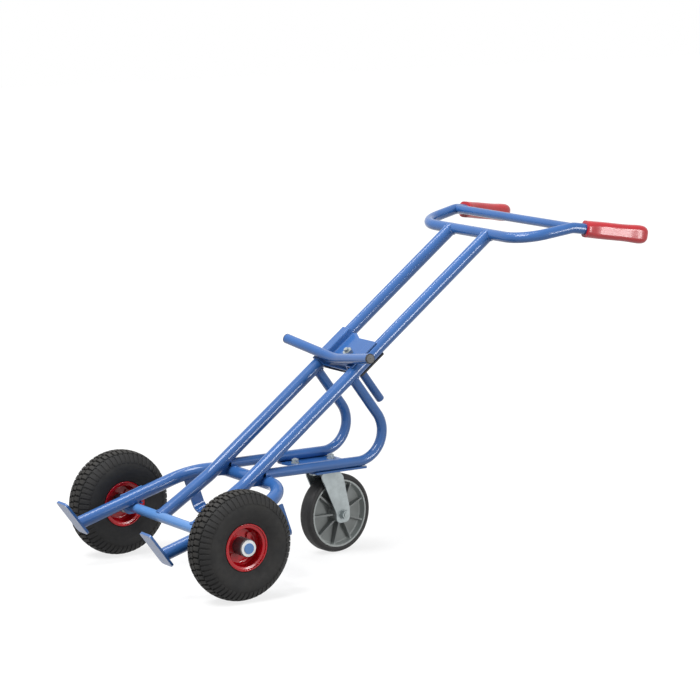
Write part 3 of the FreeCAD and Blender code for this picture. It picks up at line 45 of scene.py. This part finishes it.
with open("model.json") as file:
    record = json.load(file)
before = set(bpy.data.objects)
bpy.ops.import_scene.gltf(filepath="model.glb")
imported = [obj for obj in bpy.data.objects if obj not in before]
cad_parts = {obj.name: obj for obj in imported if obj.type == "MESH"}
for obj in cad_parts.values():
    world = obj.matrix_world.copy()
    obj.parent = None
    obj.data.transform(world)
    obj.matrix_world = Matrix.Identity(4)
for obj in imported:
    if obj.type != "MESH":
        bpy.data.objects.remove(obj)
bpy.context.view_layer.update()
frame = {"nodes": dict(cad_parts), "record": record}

MM = 0.001
AXIS_Y = Vector((0, 1, 0))
RAIL_ANGLE = math.radians(37.4)
UP_RAIL = Vector((-math.cos(RAIL_ANGLE), 0, math.sin(RAIL_ANGLE)))
OFF_RAIL = Vector((math.sin(RAIL_ANGLE), 0, math.cos(RAIL_ANGLE)))
AXLE = sum(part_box("axle"), Vector()) / 2
SIDES = {"left": 1, "right": -1}

# Sizes that the welds and tyres take from the trolley's frame, in mm, with angles in radians.
WHEEL_SIDE = 280
CASTER_YAW = math.radians(6)
RAIL_SIDE = 78
RAIL_SET = -16
RAIL_RADIUS = 16
RAIL_KNEE = 164
LEG_ROOT = 551
LEG_RADIUS = 12.5
AXLE_RADIUS = 12.5
HANDLE_FRONT = 1072
HANDLE_RADIUS = 13.5
FORK_SIDE = 198.5
FORK_RADIUS = 16
FORK_HEIGHT = 157.3
FORK_SLOPE = math.radians(16.5)
CROSS_BACK = -203
CROSS_HEIGHT = 217.43
TOE_PLANE = -135.5


def upright(x, y, z):
    """Row frame point of one measured square to the rails, across them and up them from the axle, in mm."""
    return AXLE + (OFF_RAIL * x + AXIS_Y * y + UP_RAIL * z) * MM


def floor(x, y, z):
    """Row frame point of a point forward of the axle, across and above the floor, in mm."""
    return Vector((AXLE.x + x * MM, y * MM, z * MM))


def wheel_centre(side):
    return AXLE + AXIS_Y * (WHEEL_SIDE * MM * SIDES[side])


# Sizes and colours that a user would change


def colour(name, description, value):
    return FloatVectorProperty(
        name=name, description=description, default=value, subtype="COLOR", size=3, min=0, max=1
    )


def length(name, description, value):
    return FloatProperty(name=name, description=description, default=value, unit="LENGTH", min=0)


class TrolleyColours(bpy.types.PropertyGroup):
    frame_blue: colour("Frame blue", "Powder coat of the frame, saddle and carriage", (0.030, 0.112, 0.33))
    axle_blue: colour("Axle blue", "Paint of the axle and its lugs", (0.09, 0.23, 0.52))
    rim_red: colour("Rim red", "Gloss paint of the wheel rims", (0.48, 0.003, 0.010))
    grip_red: colour("Grip red", "Moulded plastic of the grips", (0.44, 0.004, 0.013))
    tyre_black: colour("Tyre black", "Rubber of the pneumatic tyres", (0.0105, 0.0105, 0.0108))
    tyre_dust: colour("Tyre dust", "Dust on the raised tread", (0.030, 0.028, 0.025))
    caster_grey: colour("Caster grey", "Moulded centre of the caster wheel", (0.20, 0.215, 0.21))
    caster_rubber: colour("Caster rubber", "Tyre of the caster wheel", (0.018, 0.0175, 0.018))
    zinc: colour("Zinc", "Plating of the caster fork and fasteners", (0.32, 0.355, 0.36))
    floor_white: colour("Floor", "Studio floor", (0.25, 0.25, 0.25))


class TrolleyTread(bpy.types.PropertyGroup):
    lugs: IntProperty(name="Lugs", description="Blocks in each row round a tyre", default=56, min=12, max=90)
    gap: FloatProperty(
        name="Gap", description="Share of the pitch left open between blocks", default=0.24, min=0.05, max=0.6
    )
    bevel: length("Block bevel", "Rounding of the blocks' edges", 0.0006)


class TrolleyWelds(bpy.types.PropertyGroup):
    bead: length("Bead radius", "Half the width of a weld bead", 0.0026)
    ripple: length("Ripple pitch", "Length of one ripple of a weld bead", 0.0026)


def power(name, description, value):
    return FloatProperty(name=name, description=description, default=value, unit="POWER", min=0)


class TrolleyStage(bpy.types.PropertyGroup):
    lens: FloatProperty(
        name="Lens", description="Focal length on a 36 mm sensor", default=149.116, min=10, max=400
    )
    world: FloatProperty(
        name="World light", description="Strength of the light from all round", default=0.40, min=0
    )
    key: power("Key lamp", "Power of the large lamp", 150)
    strip: power("Strip lamp", "Power of the narrow lamps", 100)


# Shader maths


class Wire:
    """One output of a finish's nodes. Its operators add Math nodes."""

    def __init__(self, finish, socket):
        self.finish = finish
        self.socket = socket

    def reckon(self, operation, *values):
        return self.finish.add("ShaderNodeMath", {"operation": operation}, dict(enumerate(values)))

    def __add__(self, other):
        return self.reckon("ADD", self, other)

    __radd__ = __add__

    def __sub__(self, other):
        return self.reckon("SUBTRACT", self, other)

    def __rsub__(self, other):
        return self.reckon("SUBTRACT", other, self)

    def __mul__(self, other):
        return self.reckon("MULTIPLY", self, other)

    __rmul__ = __mul__

    def rise(self, start, stop):
        """0 below start and 1 above stop, with a smooth step between them."""
        ends = {"Value": self, "From Min": start, "From Max": stop}
        return self.finish.add("ShaderNodeMapRange", {"interpolation_type": "SMOOTHSTEP"}, ends)


class Nodes:
    """The nodes of a material or of the world."""

    def __init__(self, tree):
        self.tree = tree

    def add(self, kind, settings=None, values=None, output=0):
        """Any node: its type, its settings, and the values or wires of its sockets."""
        made = self.tree.nodes.new(kind)
        for name, value in (settings or {}).items():
            if name == "stops":
                ramp = made.color_ramp.elements
                while len(ramp) < len(value):
                    ramp.new(1)
                for stop, (place, shade) in zip(ramp, value):
                    stop.position = place
                    stop.color = (*shade, 1)
            else:
                setattr(made, name, value)
        for key, value in (values or {}).items():
            self.join(made.inputs[key], value)
        return Wire(self, made.outputs[output])

    def join(self, socket, value):
        if isinstance(value, Wire):
            self.tree.links.new(value.socket, socket)
        elif socket.type == "RGBA" and len(value) == 3:
            socket.default_value = (*value, 1)
        else:
            socket.default_value = value

    def seen_directly(self):
        """1 for what the camera sees straight, in a mirror or through glass, 0 for the light on things."""
        kinds = ("Camera", "Glossy", "Transmission")
        rays = [self.add("ShaderNodeLightPath", output=f"Is {kind} Ray") for kind in kinds]
        return rays[0].reckon("MAXIMUM", rays[0].reckon("MAXIMUM", rays[0], rays[1]), rays[2])


class Finish(Nodes):
    """A material: one Principled shader and what varies over its surface."""

    def __init__(self, name, **shader):
        self.material = bpy.data.materials.new(name)
        self.material.use_nodes = True
        super().__init__(self.material.node_tree)
        self.shader = self.tree.nodes["Principled BSDF"]
        self.put(**shader)

    def put(self, **shader):
        """Sets the shader's sockets, named as base_color for Base Color."""
        for name, value in shader.items():
            title = name.replace("_", " ").title().replace("Ior", "IOR")
            self.join(self.shader.inputs[title], value)
        return self

    def place(self):
        """The point on the piece, in the row frame at rest."""
        return self.add("ShaderNodeTexCoord", output="Object")

    def noise(self, scale, detail=2, roughness=0.5, vector=None):
        values = {"Vector": vector or self.place(), "Scale": scale, "Detail": detail, "Roughness": roughness}
        return self.add("ShaderNodeTexNoise", values=values)

    def mix(self, factor, first, second):
        return self.add("ShaderNodeMix", {"data_type": "RGBA"}, {0: factor, 6: first, 7: second}, 2)

    def bump(self, height, strength, distance):
        values = {"Height": height, "Strength": strength, "Distance": distance}
        self.put(normal=self.add("ShaderNodeBump", values=values))
        return self

    def from_axis(self, centre, axis):
        """Distance of the surface from an axis, in metres."""
        away = self.add("ShaderNodeVectorMath", {"operation": "SUBTRACT"}, {0: self.place(), 1: centre})
        along = self.add("ShaderNodeVectorMath", {"operation": "PROJECT"}, {0: away, 1: axis})
        across = self.add("ShaderNodeVectorMath", {"operation": "SUBTRACT"}, {0: away, 1: along})
        return self.add("ShaderNodeVectorMath", {"operation": "LENGTH"}, {0: across}, "Value")


def tint(shade, factor):
    return tuple(min(1, part * factor) for part in shade)


def enamel(name, shade, roughness, peel):
    """Sprayed or powder coated steel: a faint unevenness of colour, and orange peel."""
    finish = Finish(name, coat_weight=0.6, coat_roughness=0.12, specular_ior_level=0.15)
    cloud = finish.noise(9, 3)
    finish.put(base_color=finish.mix(cloud.rise(0.3, 0.7), tint(shade, 0.93), tint(shade, 1.06)))
    finish.put(roughness=roughness + 0.10 * finish.noise(60, 2))
    return finish.bump(finish.noise(420, 2, 0.6), peel, 0.0004).material


def rubber(name, shade, dust, roughness, grain=900):
    """Moulded rubber with dust in its grain."""
    finish = Finish(name, specular_ior_level=0.35)
    patches = finish.noise(24, 4, 0.6).rise(0.42, 0.72)
    finish.put(base_color=finish.mix(patches * 0.55, shade, dust))
    finish.put(roughness=roughness + 0.12 * finish.noise(70, 3))
    return finish.bump(finish.noise(grain, 2), 0.25, 0.0004).material


def tyre_rubber(name, shade, dust, side):
    """Tyre rubber: dusty on top of the tread, darker in its grooves, with fine moulded rings on the wall."""
    finish = Finish(name, specular_ior_level=0.35)
    radius = finish.from_axis(wheel_centre(side), AXIS_Y)
    tread = radius.rise(0.1245, 0.1285)
    wall = 1 - radius.rise(0.104, 0.120)
    patches = finish.noise(30, 4, 0.6).rise(0.35, 0.7)
    greyer = finish.mix(tread * 0.6 + wall * 0.35 * patches, shade, dust)
    finish.put(base_color=greyer, roughness=0.62 + 0.2 * finish.noise(80, 3))
    rings = finish.add("ShaderNodeMath", {"operation": "SINE"}, {0: radius * 5200})
    grain = finish.noise(700, 2)
    return finish.bump(grain + rings * wall * 0.22, 0.3, 0.0004).material


def plating(name, shade, roughness, cast):
    """Bright zinc plating: cloudy, with a faint bluish cast and fine drawing marks."""
    finish = Finish(name, metallic=0.55)
    cloud = finish.noise(36, 4, 0.6).rise(0.3, 0.7)
    finish.put(base_color=finish.mix(cloud, shade, cast))
    finish.put(roughness=roughness + 0.16 * finish.noise(90, 4, 0.65))
    return finish.bump(finish.noise(260, 3), 0.06, 0.0004).material


def moulding(name, shade, roughness, coat=0.0):
    """Injection moulded plastic with a fine skin."""
    finish = Finish(name, coat_weight=coat, coat_roughness=0.12)
    flow = finish.noise(18, 2)
    finish.put(base_color=finish.mix(flow.rise(0.35, 0.65), tint(shade, 0.93), tint(shade, 1.07)))
    finish.put(roughness=roughness + 0.08 * finish.noise(120, 2))
    return finish.bump(finish.noise(500, 2), 0.08, 0.0003).material


def caster_moulding(name, shade):
    """Grey moulded wheel centre, paler on its outer ring."""
    low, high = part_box("caster_bearing")
    axis = Vector((-math.sin(CASTER_YAW), math.cos(CASTER_YAW), 0))
    finish = Finish(name, coat_weight=0.1, coat_roughness=0.3)
    radius = finish.from_axis((low + high) / 2, axis)
    ring = radius.rise(0.072, 0.079)
    flow = finish.noise(26, 3).rise(0.35, 0.7)
    base = finish.mix(flow, tint(shade, 0.88), tint(shade, 1.1))
    finish.put(base_color=finish.mix(ring * 0.8, base, tint(shade, 2.2)))
    finish.put(roughness=0.42 + 0.1 * finish.noise(90, 2))
    return finish.bump(finish.noise(420, 2), 0.1, 0.0003).material


def make_finishes(shades):
    """One material for each slot of the record."""
    blue = tuple(shades.frame_blue)
    zinc = tuple(shades.zinc)
    black = tuple(shades.tyre_black)
    dust = tuple(shades.tyre_dust)
    caster_black = tuple(shades.caster_rubber)
    return {
        "blue_paint": enamel("frame_powder_coat", blue, 0.3, 0.05),
        "light_blue_paint": enamel("axle_paint", tuple(shades.axle_blue), 0.3, 0.1),
        "red_paint": enamel("rim_paint", tuple(shades.rim_red), 0.2, 0.06),
        # Near black clamp plate: the plate is real, but its black is painted shade for the shadow it lies in
        # under the rails.
        "black_paint": enamel("clamp_black_painted_shade", (0.018, 0.018, 0.02), 0.4, 0.1),
        "inner_tube_rubber": rubber("valve_rubber", (0.02, 0.02, 0.02), (0.04, 0.04, 0.04), 0.55),
        "tyre_rubber": rubber("tyre_inside", black, dust, 0.7),
        "caster_rubber": rubber("caster_tyre_rubber", caster_black, (0.036, 0.033, 0.032), 0.55),
        "red_seal": rubber("seal_rubber", (0.26, 0.015, 0.035), (0.3, 0.03, 0.05), 0.4),
        "dark_steel": plating("oiled_steel", (0.10, 0.10, 0.11), 0.34, (0.15, 0.15, 0.165)),
        "zinc_steel": plating("zinc_plating", zinc, 0.26, tint(zinc, 1.3)),
        "white_plastic": moulding("washer_plastic", (0.86, 0.87, 0.86), 0.3, 0.2),
        "red_plastic": moulding("grip_plastic", tuple(shades.grip_red), 0.26, 0.4),
        "black_plastic": moulding("cap_plastic", (0.017, 0.017, 0.018), 0.36),
        "grey_plastic": caster_moulding("caster_centre", tuple(shades.caster_grey)),
    }


FINISHES = {}


# Meshes


def add_piece(name, shape, body, material, bevel=None, smooth=True):
    """A mesh object from a bmesh, with its finish, riding on a body."""
    mesh = bpy.data.meshes.new(name)
    bmesh.ops.recalc_face_normals(shape, faces=shape.faces)
    shape.to_mesh(mesh)
    shape.free()
    if smooth:
        mesh.shade_smooth()
        mesh.set_sharp_from_angle(angle=math.radians(38))
    piece = bpy.data.objects.new(name, mesh)
    bpy.context.scene.collection.objects.link(piece)
    mesh.materials.append(material)
    if bevel:
        rounding = piece.modifiers.new("rounding", "BEVEL")
        rounding.width = bevel
        rounding.segments = 2
        rounding.angle_limit = math.radians(50)
    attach(piece, body)
    return piece


def lathe(shape, profile, centre, segments):
    """Closed ring turned about the Y direction through centre. The profile is (radius, y) in mm."""
    rings = []
    for step in range(segments):
        angle = math.tau * step / segments
        out = Vector((math.cos(angle), 0, math.sin(angle)))
        rings.append([shape.verts.new(centre + (out * radius + AXIS_Y * y) * MM) for radius, y in profile])
    count = len(profile)
    for step in range(segments):
        here, following = rings[step], rings[(step + 1) % segments]
        for index in range(count):
            after = (index + 1) % count
            shape.faces.new((here[index], here[after], following[after], following[index]))


def rounded(points, rounds=2):
    """The same line with its corners cut, twice over, so that it turns smoothly."""
    for _ in range(rounds):
        eased = [points[0]]
        for (r0, y0), (r1, y1) in zip(points, points[1:]):
            eased.append((r0 * 0.75 + r1 * 0.25, y0 * 0.75 + y1 * 0.25))
            eased.append((r0 * 0.25 + r1 * 0.75, y0 * 0.25 + y1 * 0.75))
        points = eased + [points[-1]]
    return points


# The tyre's wall from the tread's edge to the bead, as (radius, y) in mm.
WALL = [(119, 28), (113, 34.5), (106, 39.5), (98, 42.2), (88, 42.4), (78, 40.6), (69, 37.2), (62, 33.4)]
BEAD = [(58.4, 32.4), (56.9, 31.2), (56.4, 27), (50, 26), (48.4, 25), (48.4, 16.4), (57, 18.5)]
HOLLOW = [(62, 27), (78, 34), (96, 35.4), (110, 32), (116, 20), (117, 8)]


def tyre_section():
    crown = [(125, 0), (124.6, 9), (122.6, 20)]
    half = crown + rounded(WALL) + BEAD + rounded(HOLLOW, 1)
    return half + [(radius, -y) for radius, y in reversed(half) if y > 0]


def lug(shape, centre, side, rows, start, stop, narrow):
    """One tread block between two angles, from a strip of (y, top radius, foot radius). Its sides lean in."""
    steps = 3
    tops = []
    feet = []
    for y, top, foot in rows:
        line_top = []
        line_foot = []
        for step in range(steps + 1):
            share = step / steps
            at_foot = start + (stop - start) * share
            at_top = start + (stop - start) * (narrow + (1 - 2 * narrow) * share)
            for line, radius, angle in ((line_top, top, at_top), (line_foot, foot, at_foot)):
                out = Vector((math.cos(angle), 0, math.sin(angle)))
                line.append(shape.verts.new(centre + (out * radius + AXIS_Y * (side * y)) * MM))
        tops.append(line_top)
        feet.append(line_foot)
    last = len(rows) - 1
    for row in range(last):
        for step in range(steps):
            for grid in (tops, feet):
                here, following = grid[row], grid[row + 1]
                shape.faces.new((here[step], here[step + 1], following[step + 1], following[step]))
        for step in (0, steps):
            shape.faces.new((tops[row][step], tops[row + 1][step], feet[row + 1][step], feet[row][step]))
    for row in (0, last):
        for step in range(steps):
            shape.faces.new((tops[row][step], tops[row][step + 1], feet[row][step + 1], feet[row][step]))


# The outer row's strip, with the deep slots that run down onto the wall.
SHOULDER_STRIP = [
    (25, 124.2, 118.5), (29, 121.2, 115.5), (33.5, 116.8, 111.5), (38, 111.4, 107.4), (41.4, 105.6, 103),
]
# Tread rows: a strip of (y, top radius, foot radius) in mm, how far it is turned on from the middle row in
# pitches, and whether it is the middle row, which isn't mirrored.
TREAD_ROWS = [
    ([(-5.6, 129.8, 124), (0, 130, 124), (5.6, 129.8, 124)], 0.0, True),
    ([(7.8, 129.7, 123.6), (15, 128.4, 122.5), (23, 125.6, 120.5)], 0.28, False),
    (SHOULDER_STRIP, 0.0, False),
]

# Share of a block's length that each of its sides leans in.
LUG_LEAN = 0.07


def make_tyre(side, tread):
    centre = wheel_centre(side)
    pitch = math.tau / tread.lugs
    half_gap = tread.gap / 2
    carcass = bmesh.new()
    lathe(carcass, tyre_section(), centre, tread.lugs * 4)
    for rows, shift, middle in TREAD_ROWS:
        for flank in (1,) if middle else (1, -1):
            for index in range(tread.lugs):
                start = (index + shift * flank + half_gap) * pitch
                stop = (index + shift * flank + 1 - half_gap) * pitch
                lug(carcass, centre, flank, rows, start, stop, LUG_LEAN)
    shades = bpy.context.scene.trolley_colours
    material = tyre_rubber(f"tyre_rubber_{side}", tuple(shades.tyre_black), tuple(shades.tyre_dust), side)
    piece = add_piece(f"tread_{side}", carcass, f"wheel_{side}", material, tread.bevel)
    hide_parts(f"tyre_{side}")


# Weld beads

BEAD_SIDES = 8
RING_STEPS = 96
# Where the axle's lugs meet the fork arms: half their width, how far forward or back, and how high, in mm.
LUG_WIDTH = 14
LUG_FLANK = 12.8
LUG_TOP = 143.2


def bead_tube(shape, points, closed, radius, ripple):
    """A bead swept along points, swelling and shrinking with its ripples."""
    count = len(points)
    travelled = 0
    rings = []
    for index, point in enumerate(points):
        before = points[index - 1] if closed or index else point
        after = points[(index + 1) % count] if closed or index < count - 1 else point
        ahead = (after - before).normalized()
        side = ahead.orthogonal().normalized()
        turn = Matrix.Rotation(math.tau / BEAD_SIDES, 3, ahead)
        travelled += (point - before).length
        swell = radius * (1 + 0.16 * math.sin(math.tau * travelled / ripple) + random.uniform(-0.05, 0.05))
        if not closed and index in (0, count - 1):
            swell *= 0.35
        ring = []
        spoke = side
        if rings:
            # Keeps each ring's first spoke beside the last one's, so that the bead doesn't twist.
            spoke = rings[-1][0].co - points[index - 1]
            spoke = (spoke - ahead * spoke.dot(ahead)).normalized()
        for _ in range(BEAD_SIDES):
            ring.append(shape.verts.new(point + spoke * swell))
            spoke = turn @ spoke
        rings.append(ring)
    for index in range(count if closed else count - 1):
        here, following = rings[index], rings[(index + 1) % count]
        shift = 0
        if closed and index == count - 1:
            shift = min(range(BEAD_SIDES), key=lambda k: (following[k].co - here[0].co).length)
        for corner in range(BEAD_SIDES):
            after = (corner + 1) % BEAD_SIDES
            across = following[(after + shift) % BEAD_SIDES], following[(corner + shift) % BEAD_SIDES]
            shape.faces.new((here[corner], here[after], *across))
    if not closed:
        shape.faces.new(rings[0])
        shape.faces.new(rings[-1])


def cope_ring(branch, main, steps=110, reach=1):
    """Points where a branch tube's skin meets a main tube's. Each tube is (point, direction, radius in mm).

    Returns runs of points: one closed run, or open runs where the branch is wider than the main tube."""
    point, along, radius = branch
    core, axis, main_radius = main
    along = along.normalized()
    axis = axis.normalized()
    side = along.orthogonal().normalized()
    other = along.cross(side)
    runs = [[]]
    for step in range(steps):
        angle = math.tau * step / steps
        start = point + (side * math.cos(angle) + other * math.sin(angle)) * (radius * MM)
        offset = start - core
        offset = offset - axis * offset.dot(axis)
        slope = along - axis * along.dot(axis)
        a = slope.dot(slope)
        b = 2 * offset.dot(slope)
        c = offset.dot(offset) - (main_radius * MM) ** 2
        inside = b * b - 4 * a * c
        if inside <= 0:
            if runs[-1]:
                runs.append([])
            continue
        runs[-1].append(start + along * ((-b - reach * math.sqrt(inside)) / (2 * a)))
    closed = len(runs) == 1
    if not closed and runs[0] and runs[-1]:
        runs[0] = runs.pop() + runs[0]
    return [run for run in runs if len(run) > 2], closed


def seam(start, stop, steps=26):
    """A straight run of points."""
    return [start.lerp(stop, step / steps) for step in range(steps + 1)]


def add_welds(name, body, joints, welds):
    """One piece with all the beads of a body. Each joint is (points, closed)."""
    shape = bmesh.new()
    for points, closed in joints:
        bead_tube(shape, points, closed, welds.bead, welds.ripple)
    return add_piece(name, shape, body, FINISHES["blue_paint"])


def frame_weld_lines():
    """Where the frame's tubes, plates and bars are welded together."""
    lines = []

    def cope(branch, main, reach=1):
        runs, closed = cope_ring(branch, main, reach=reach)
        lines.extend((run, closed) for run in runs)

    fork_dir = Vector((math.cos(FORK_SLOPE), 0, -math.sin(FORK_SLOPE)))
    fork_up = fork_dir.cross(AXIS_Y)
    handle = (upright(RAIL_SET, 0, HANDLE_FRONT), AXIS_Y, HANDLE_RADIUS)
    axle = (AXLE, AXIS_Y, AXLE_RADIUS)
    cross = (floor(CROSS_BACK, 0, CROSS_HEIGHT), AXIS_Y, FORK_RADIUS)
    toe_plane = upright(0, 0, TOE_PLANE)
    for sign in SIDES.values():
        rail_y = RAIL_SIDE * sign
        rail_foot = upright(0, rail_y, 0)
        rail_knee = upright(RAIL_SET, rail_y, RAIL_KNEE)
        rail_top = upright(RAIL_SET, rail_y, 900)
        rail = (upright(RAIL_SET, rail_y, 500), UP_RAIL, RAIL_RADIUS)
        cope((rail_top, UP_RAIL, RAIL_RADIUS), handle)
        cope((rail_knee, rail_foot - rail_knee, RAIL_RADIUS), axle)
        cope((upright(RAIL_SET, rail_y, LEG_ROOT) - OFF_RAIL * 0.1, OFF_RAIL, LEG_RADIUS), rail)
        cope((floor(-150, rail_y, 238), Vector((-1, 0, 0)), LEG_RADIUS), cross, reach=-1)
        arm_y = FORK_SIDE * sign
        arm = floor(0, arm_y, FORK_HEIGHT)
        ring = []
        for step in range(RING_STEPS):
            angle = math.tau * step / RING_STEPS
            start = arm + (AXIS_Y * math.cos(angle) + fork_up * math.sin(angle)) * (FORK_RADIUS * MM)
            ring.append(start + fork_dir * ((toe_plane - start).dot(UP_RAIL) / fork_dir.dot(UP_RAIL)))
        lines.append((ring, True))
        for lean in (-LUG_FLANK, LUG_FLANK):
            ends = [floor(lean, arm_y + out, LUG_TOP) for out in (-LUG_WIDTH, LUG_WIDTH)]
            lines.append((seam(*ends), False))
    return lines


# Operators: one for each piece or group of like pieces, and the stage


class TrolleyStep:
    """What every step of the trolley shares."""

    bl_options = {"REGISTER", "UNDO"}

    def execute(self, context):
        self.make(context.scene)
        return {"FINISHED"}


class TROLLEY_OT_finishes(TrolleyStep, bpy.types.Operator):
    """Gives every part from the frame its paint, plating, rubber or plastic"""

    bl_idname = "trolley.finishes"
    bl_label = "Finishes"

    def make(self, scene):
        FINISHES.update(make_finishes(scene.trolley_colours))
        for entry in frame["record"]["subparts"]:
            materials = frame["nodes"][entry["node"]].data.materials
            materials.clear()
            # The bolts in the dish are painted over with the rims.
            painted_over = entry["node"].startswith("rim_bolts")
            materials.append(FINISHES["red_paint" if painted_over else entry["material_slot"]])


class TROLLEY_OT_tyres(TrolleyStep, bpy.types.Operator):
    """Makes the two pneumatic tyres with their block tread"""

    bl_idname = "trolley.tyres"
    bl_label = "Tyres"

    def make(self, scene):
        for side in SIDES:
            make_tyre(side, scene.trolley_tread)


class TROLLEY_OT_welds(TrolleyStep, bpy.types.Operator):
    """Lays the weld beads where the frame's tubes meet"""

    bl_idname = "trolley.welds"
    bl_label = "Weld beads"

    def make(self, scene):
        add_welds("frame_weld_beads", "frame", frame_weld_lines(), scene.trolley_welds)


class TROLLEY_OT_stage(TrolleyStep, bpy.types.Operator):
    """Sets the pale floor, the lamps, the world and the camera"""

    bl_idname = "trolley.stage"
    bl_label = "Stage"

    def make(self, scene):
        stage = scene.trolley_stage
        make_floor(tuple(scene.trolley_colours.floor_white))
        make_world(scene, stage.world)
        make_lamps(stage)
        make_camera(scene, stage.lens)
        scene.view_settings.view_transform = "Standard"


def make_floor(shade):
    """A wide pale floor that keeps the shadow. What the camera sees is lifted to white, most of all far away."""
    half = 14
    mesh = bpy.data.meshes.new("studio_floor")
    corners = [(-half, -half, 0), (half, -half, 0), (half, half, 0), (-half, half, 0)]
    mesh.from_pydata(corners, [], [(0, 1, 2, 3)])
    studio_floor = bpy.data.objects.new("studio_floor", mesh)
    bpy.context.scene.collection.objects.link(studio_floor)
    finish = Finish("studio_floor", base_color=shade, roughness=0.9, specular_ior_level=0)
    white = [finish.add("ShaderNodeEmission", values={"Strength": strength}) for strength in (0, 0.78, 1)]
    away = finish.add("ShaderNodeVectorMath", {"operation": "LENGTH"}, {0: finish.place()}, "Value")
    glow = finish.add("ShaderNodeMixShader", values={0: away.rise(1.2, 3), 1: white[1], 2: white[2]})
    lift = finish.add("ShaderNodeMixShader", values={0: finish.seen_directly(), 1: white[0], 2: glow})
    body = Wire(finish, finish.shader.outputs[0])
    both = finish.add("ShaderNodeAddShader", values={0: body, 1: lift})
    output = finish.tree.nodes["Material Output"]
    finish.tree.links.new(both.socket, output.inputs["Surface"])
    mesh.materials.append(finish.material)


def make_world(scene, strength):
    """White all round where the camera or a mirror sees it, and a plain soft light for the rest."""
    world = bpy.data.worlds.new("studio_world")
    scene.world = world
    world.use_nodes = True
    nodes = Nodes(world.node_tree)
    background = nodes.tree.nodes["Background"]
    background.inputs["Color"].default_value = (1, 1, 1, 1)
    nodes.join(background.inputs["Strength"], strength + (1 - strength) * nodes.seen_directly())


def lamp(name, place, target, width, height, power):
    """A soft rectangular lamp that faces its target."""
    light = bpy.data.lights.new(name, "AREA")
    light.shape = "RECTANGLE"
    light.size = width
    light.size_y = height
    light.energy = power
    holder = bpy.data.objects.new(name, light)
    bpy.context.scene.collection.objects.link(holder)
    holder.location = place
    holder.rotation_mode = "QUATERNION"
    holder.rotation_quaternion = (Vector(target) - Vector(place)).to_track_quat("-Z", "Y")


def make_lamps(stage):
    """A large lamp above, and two long narrow ones whose reflections run along the tubes."""
    middle = (0.05, 0, 0.35)
    lamp("key_lamp", (2.2, 0.4, 3.4), middle, 1.8, 1.8, stage.key)
    lamp("side_strip", (-1.75, 4.5, 0.95), middle, 0.7, 2.4, stage.strip)
    lamp("top_strip", (0.2, -0.6, 3.2), middle, 0.25, 2.4, stage.strip * 0.25)


# Where the photograph was taken from, worked out from the wheels' circles and the level lines.
CAMERA_PLACE = floor(3446.44, 5802.16, 1668.19)
CAMERA_LOOK = Vector((-0.55458, -0.81575, -0.16426))


def make_camera(scene, lens):
    data = bpy.data.cameras.new("camera")
    data.lens = lens
    data.sensor_width = 36
    camera = bpy.data.objects.new("camera", data)
    scene.collection.objects.link(camera)
    camera.location = CAMERA_PLACE
    camera.rotation_mode = "QUATERNION"
    camera.rotation_quaternion = CAMERA_LOOK.to_track_quat("-Z", "Y")
    scene.camera = camera


class TROLLEY_PT_panel(bpy.types.Panel):
    """Lists the trolley's steps and their settings"""

    bl_idname = "TROLLEY_PT_panel"
    bl_label = "Drum trolley"
    bl_space_type = "VIEW_3D"
    bl_region_type = "UI"
    bl_category = "Trolley"

    def draw(self, context):
        for step in STEPS:
            self.layout.operator(step.bl_idname)
        for name, group in GROUPS.items():
            box = self.layout.box()
            for prop in group.__annotations__:
                box.prop(getattr(context.scene, name), prop)


STEPS = (TROLLEY_OT_finishes, TROLLEY_OT_tyres, TROLLEY_OT_welds, TROLLEY_OT_stage)
GROUPS = {
    "trolley_colours": TrolleyColours,
    "trolley_tread": TrolleyTread,
    "trolley_welds": TrolleyWelds,
    "trolley_stage": TrolleyStage,
}


def register():
    for cls in (*GROUPS.values(), *STEPS, TROLLEY_PT_panel):
        bpy.utils.register_class(cls)
    for name, group in GROUPS.items():
        setattr(bpy.types.Scene, name, PointerProperty(type=group))


def unregister():
    for name in GROUPS:
        delattr(bpy.types.Scene, name)
    for cls in (TROLLEY_PT_panel, *STEPS, *GROUPS.values()):
        bpy.utils.unregister_class(cls)


def main():
    register()
    random.seed(7)
    for step in STEPS:
        group, name = step.bl_idname.split(".")
        getattr(getattr(bpy.ops, group), name)()
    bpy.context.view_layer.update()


if __name__ == "__main__":
    main()
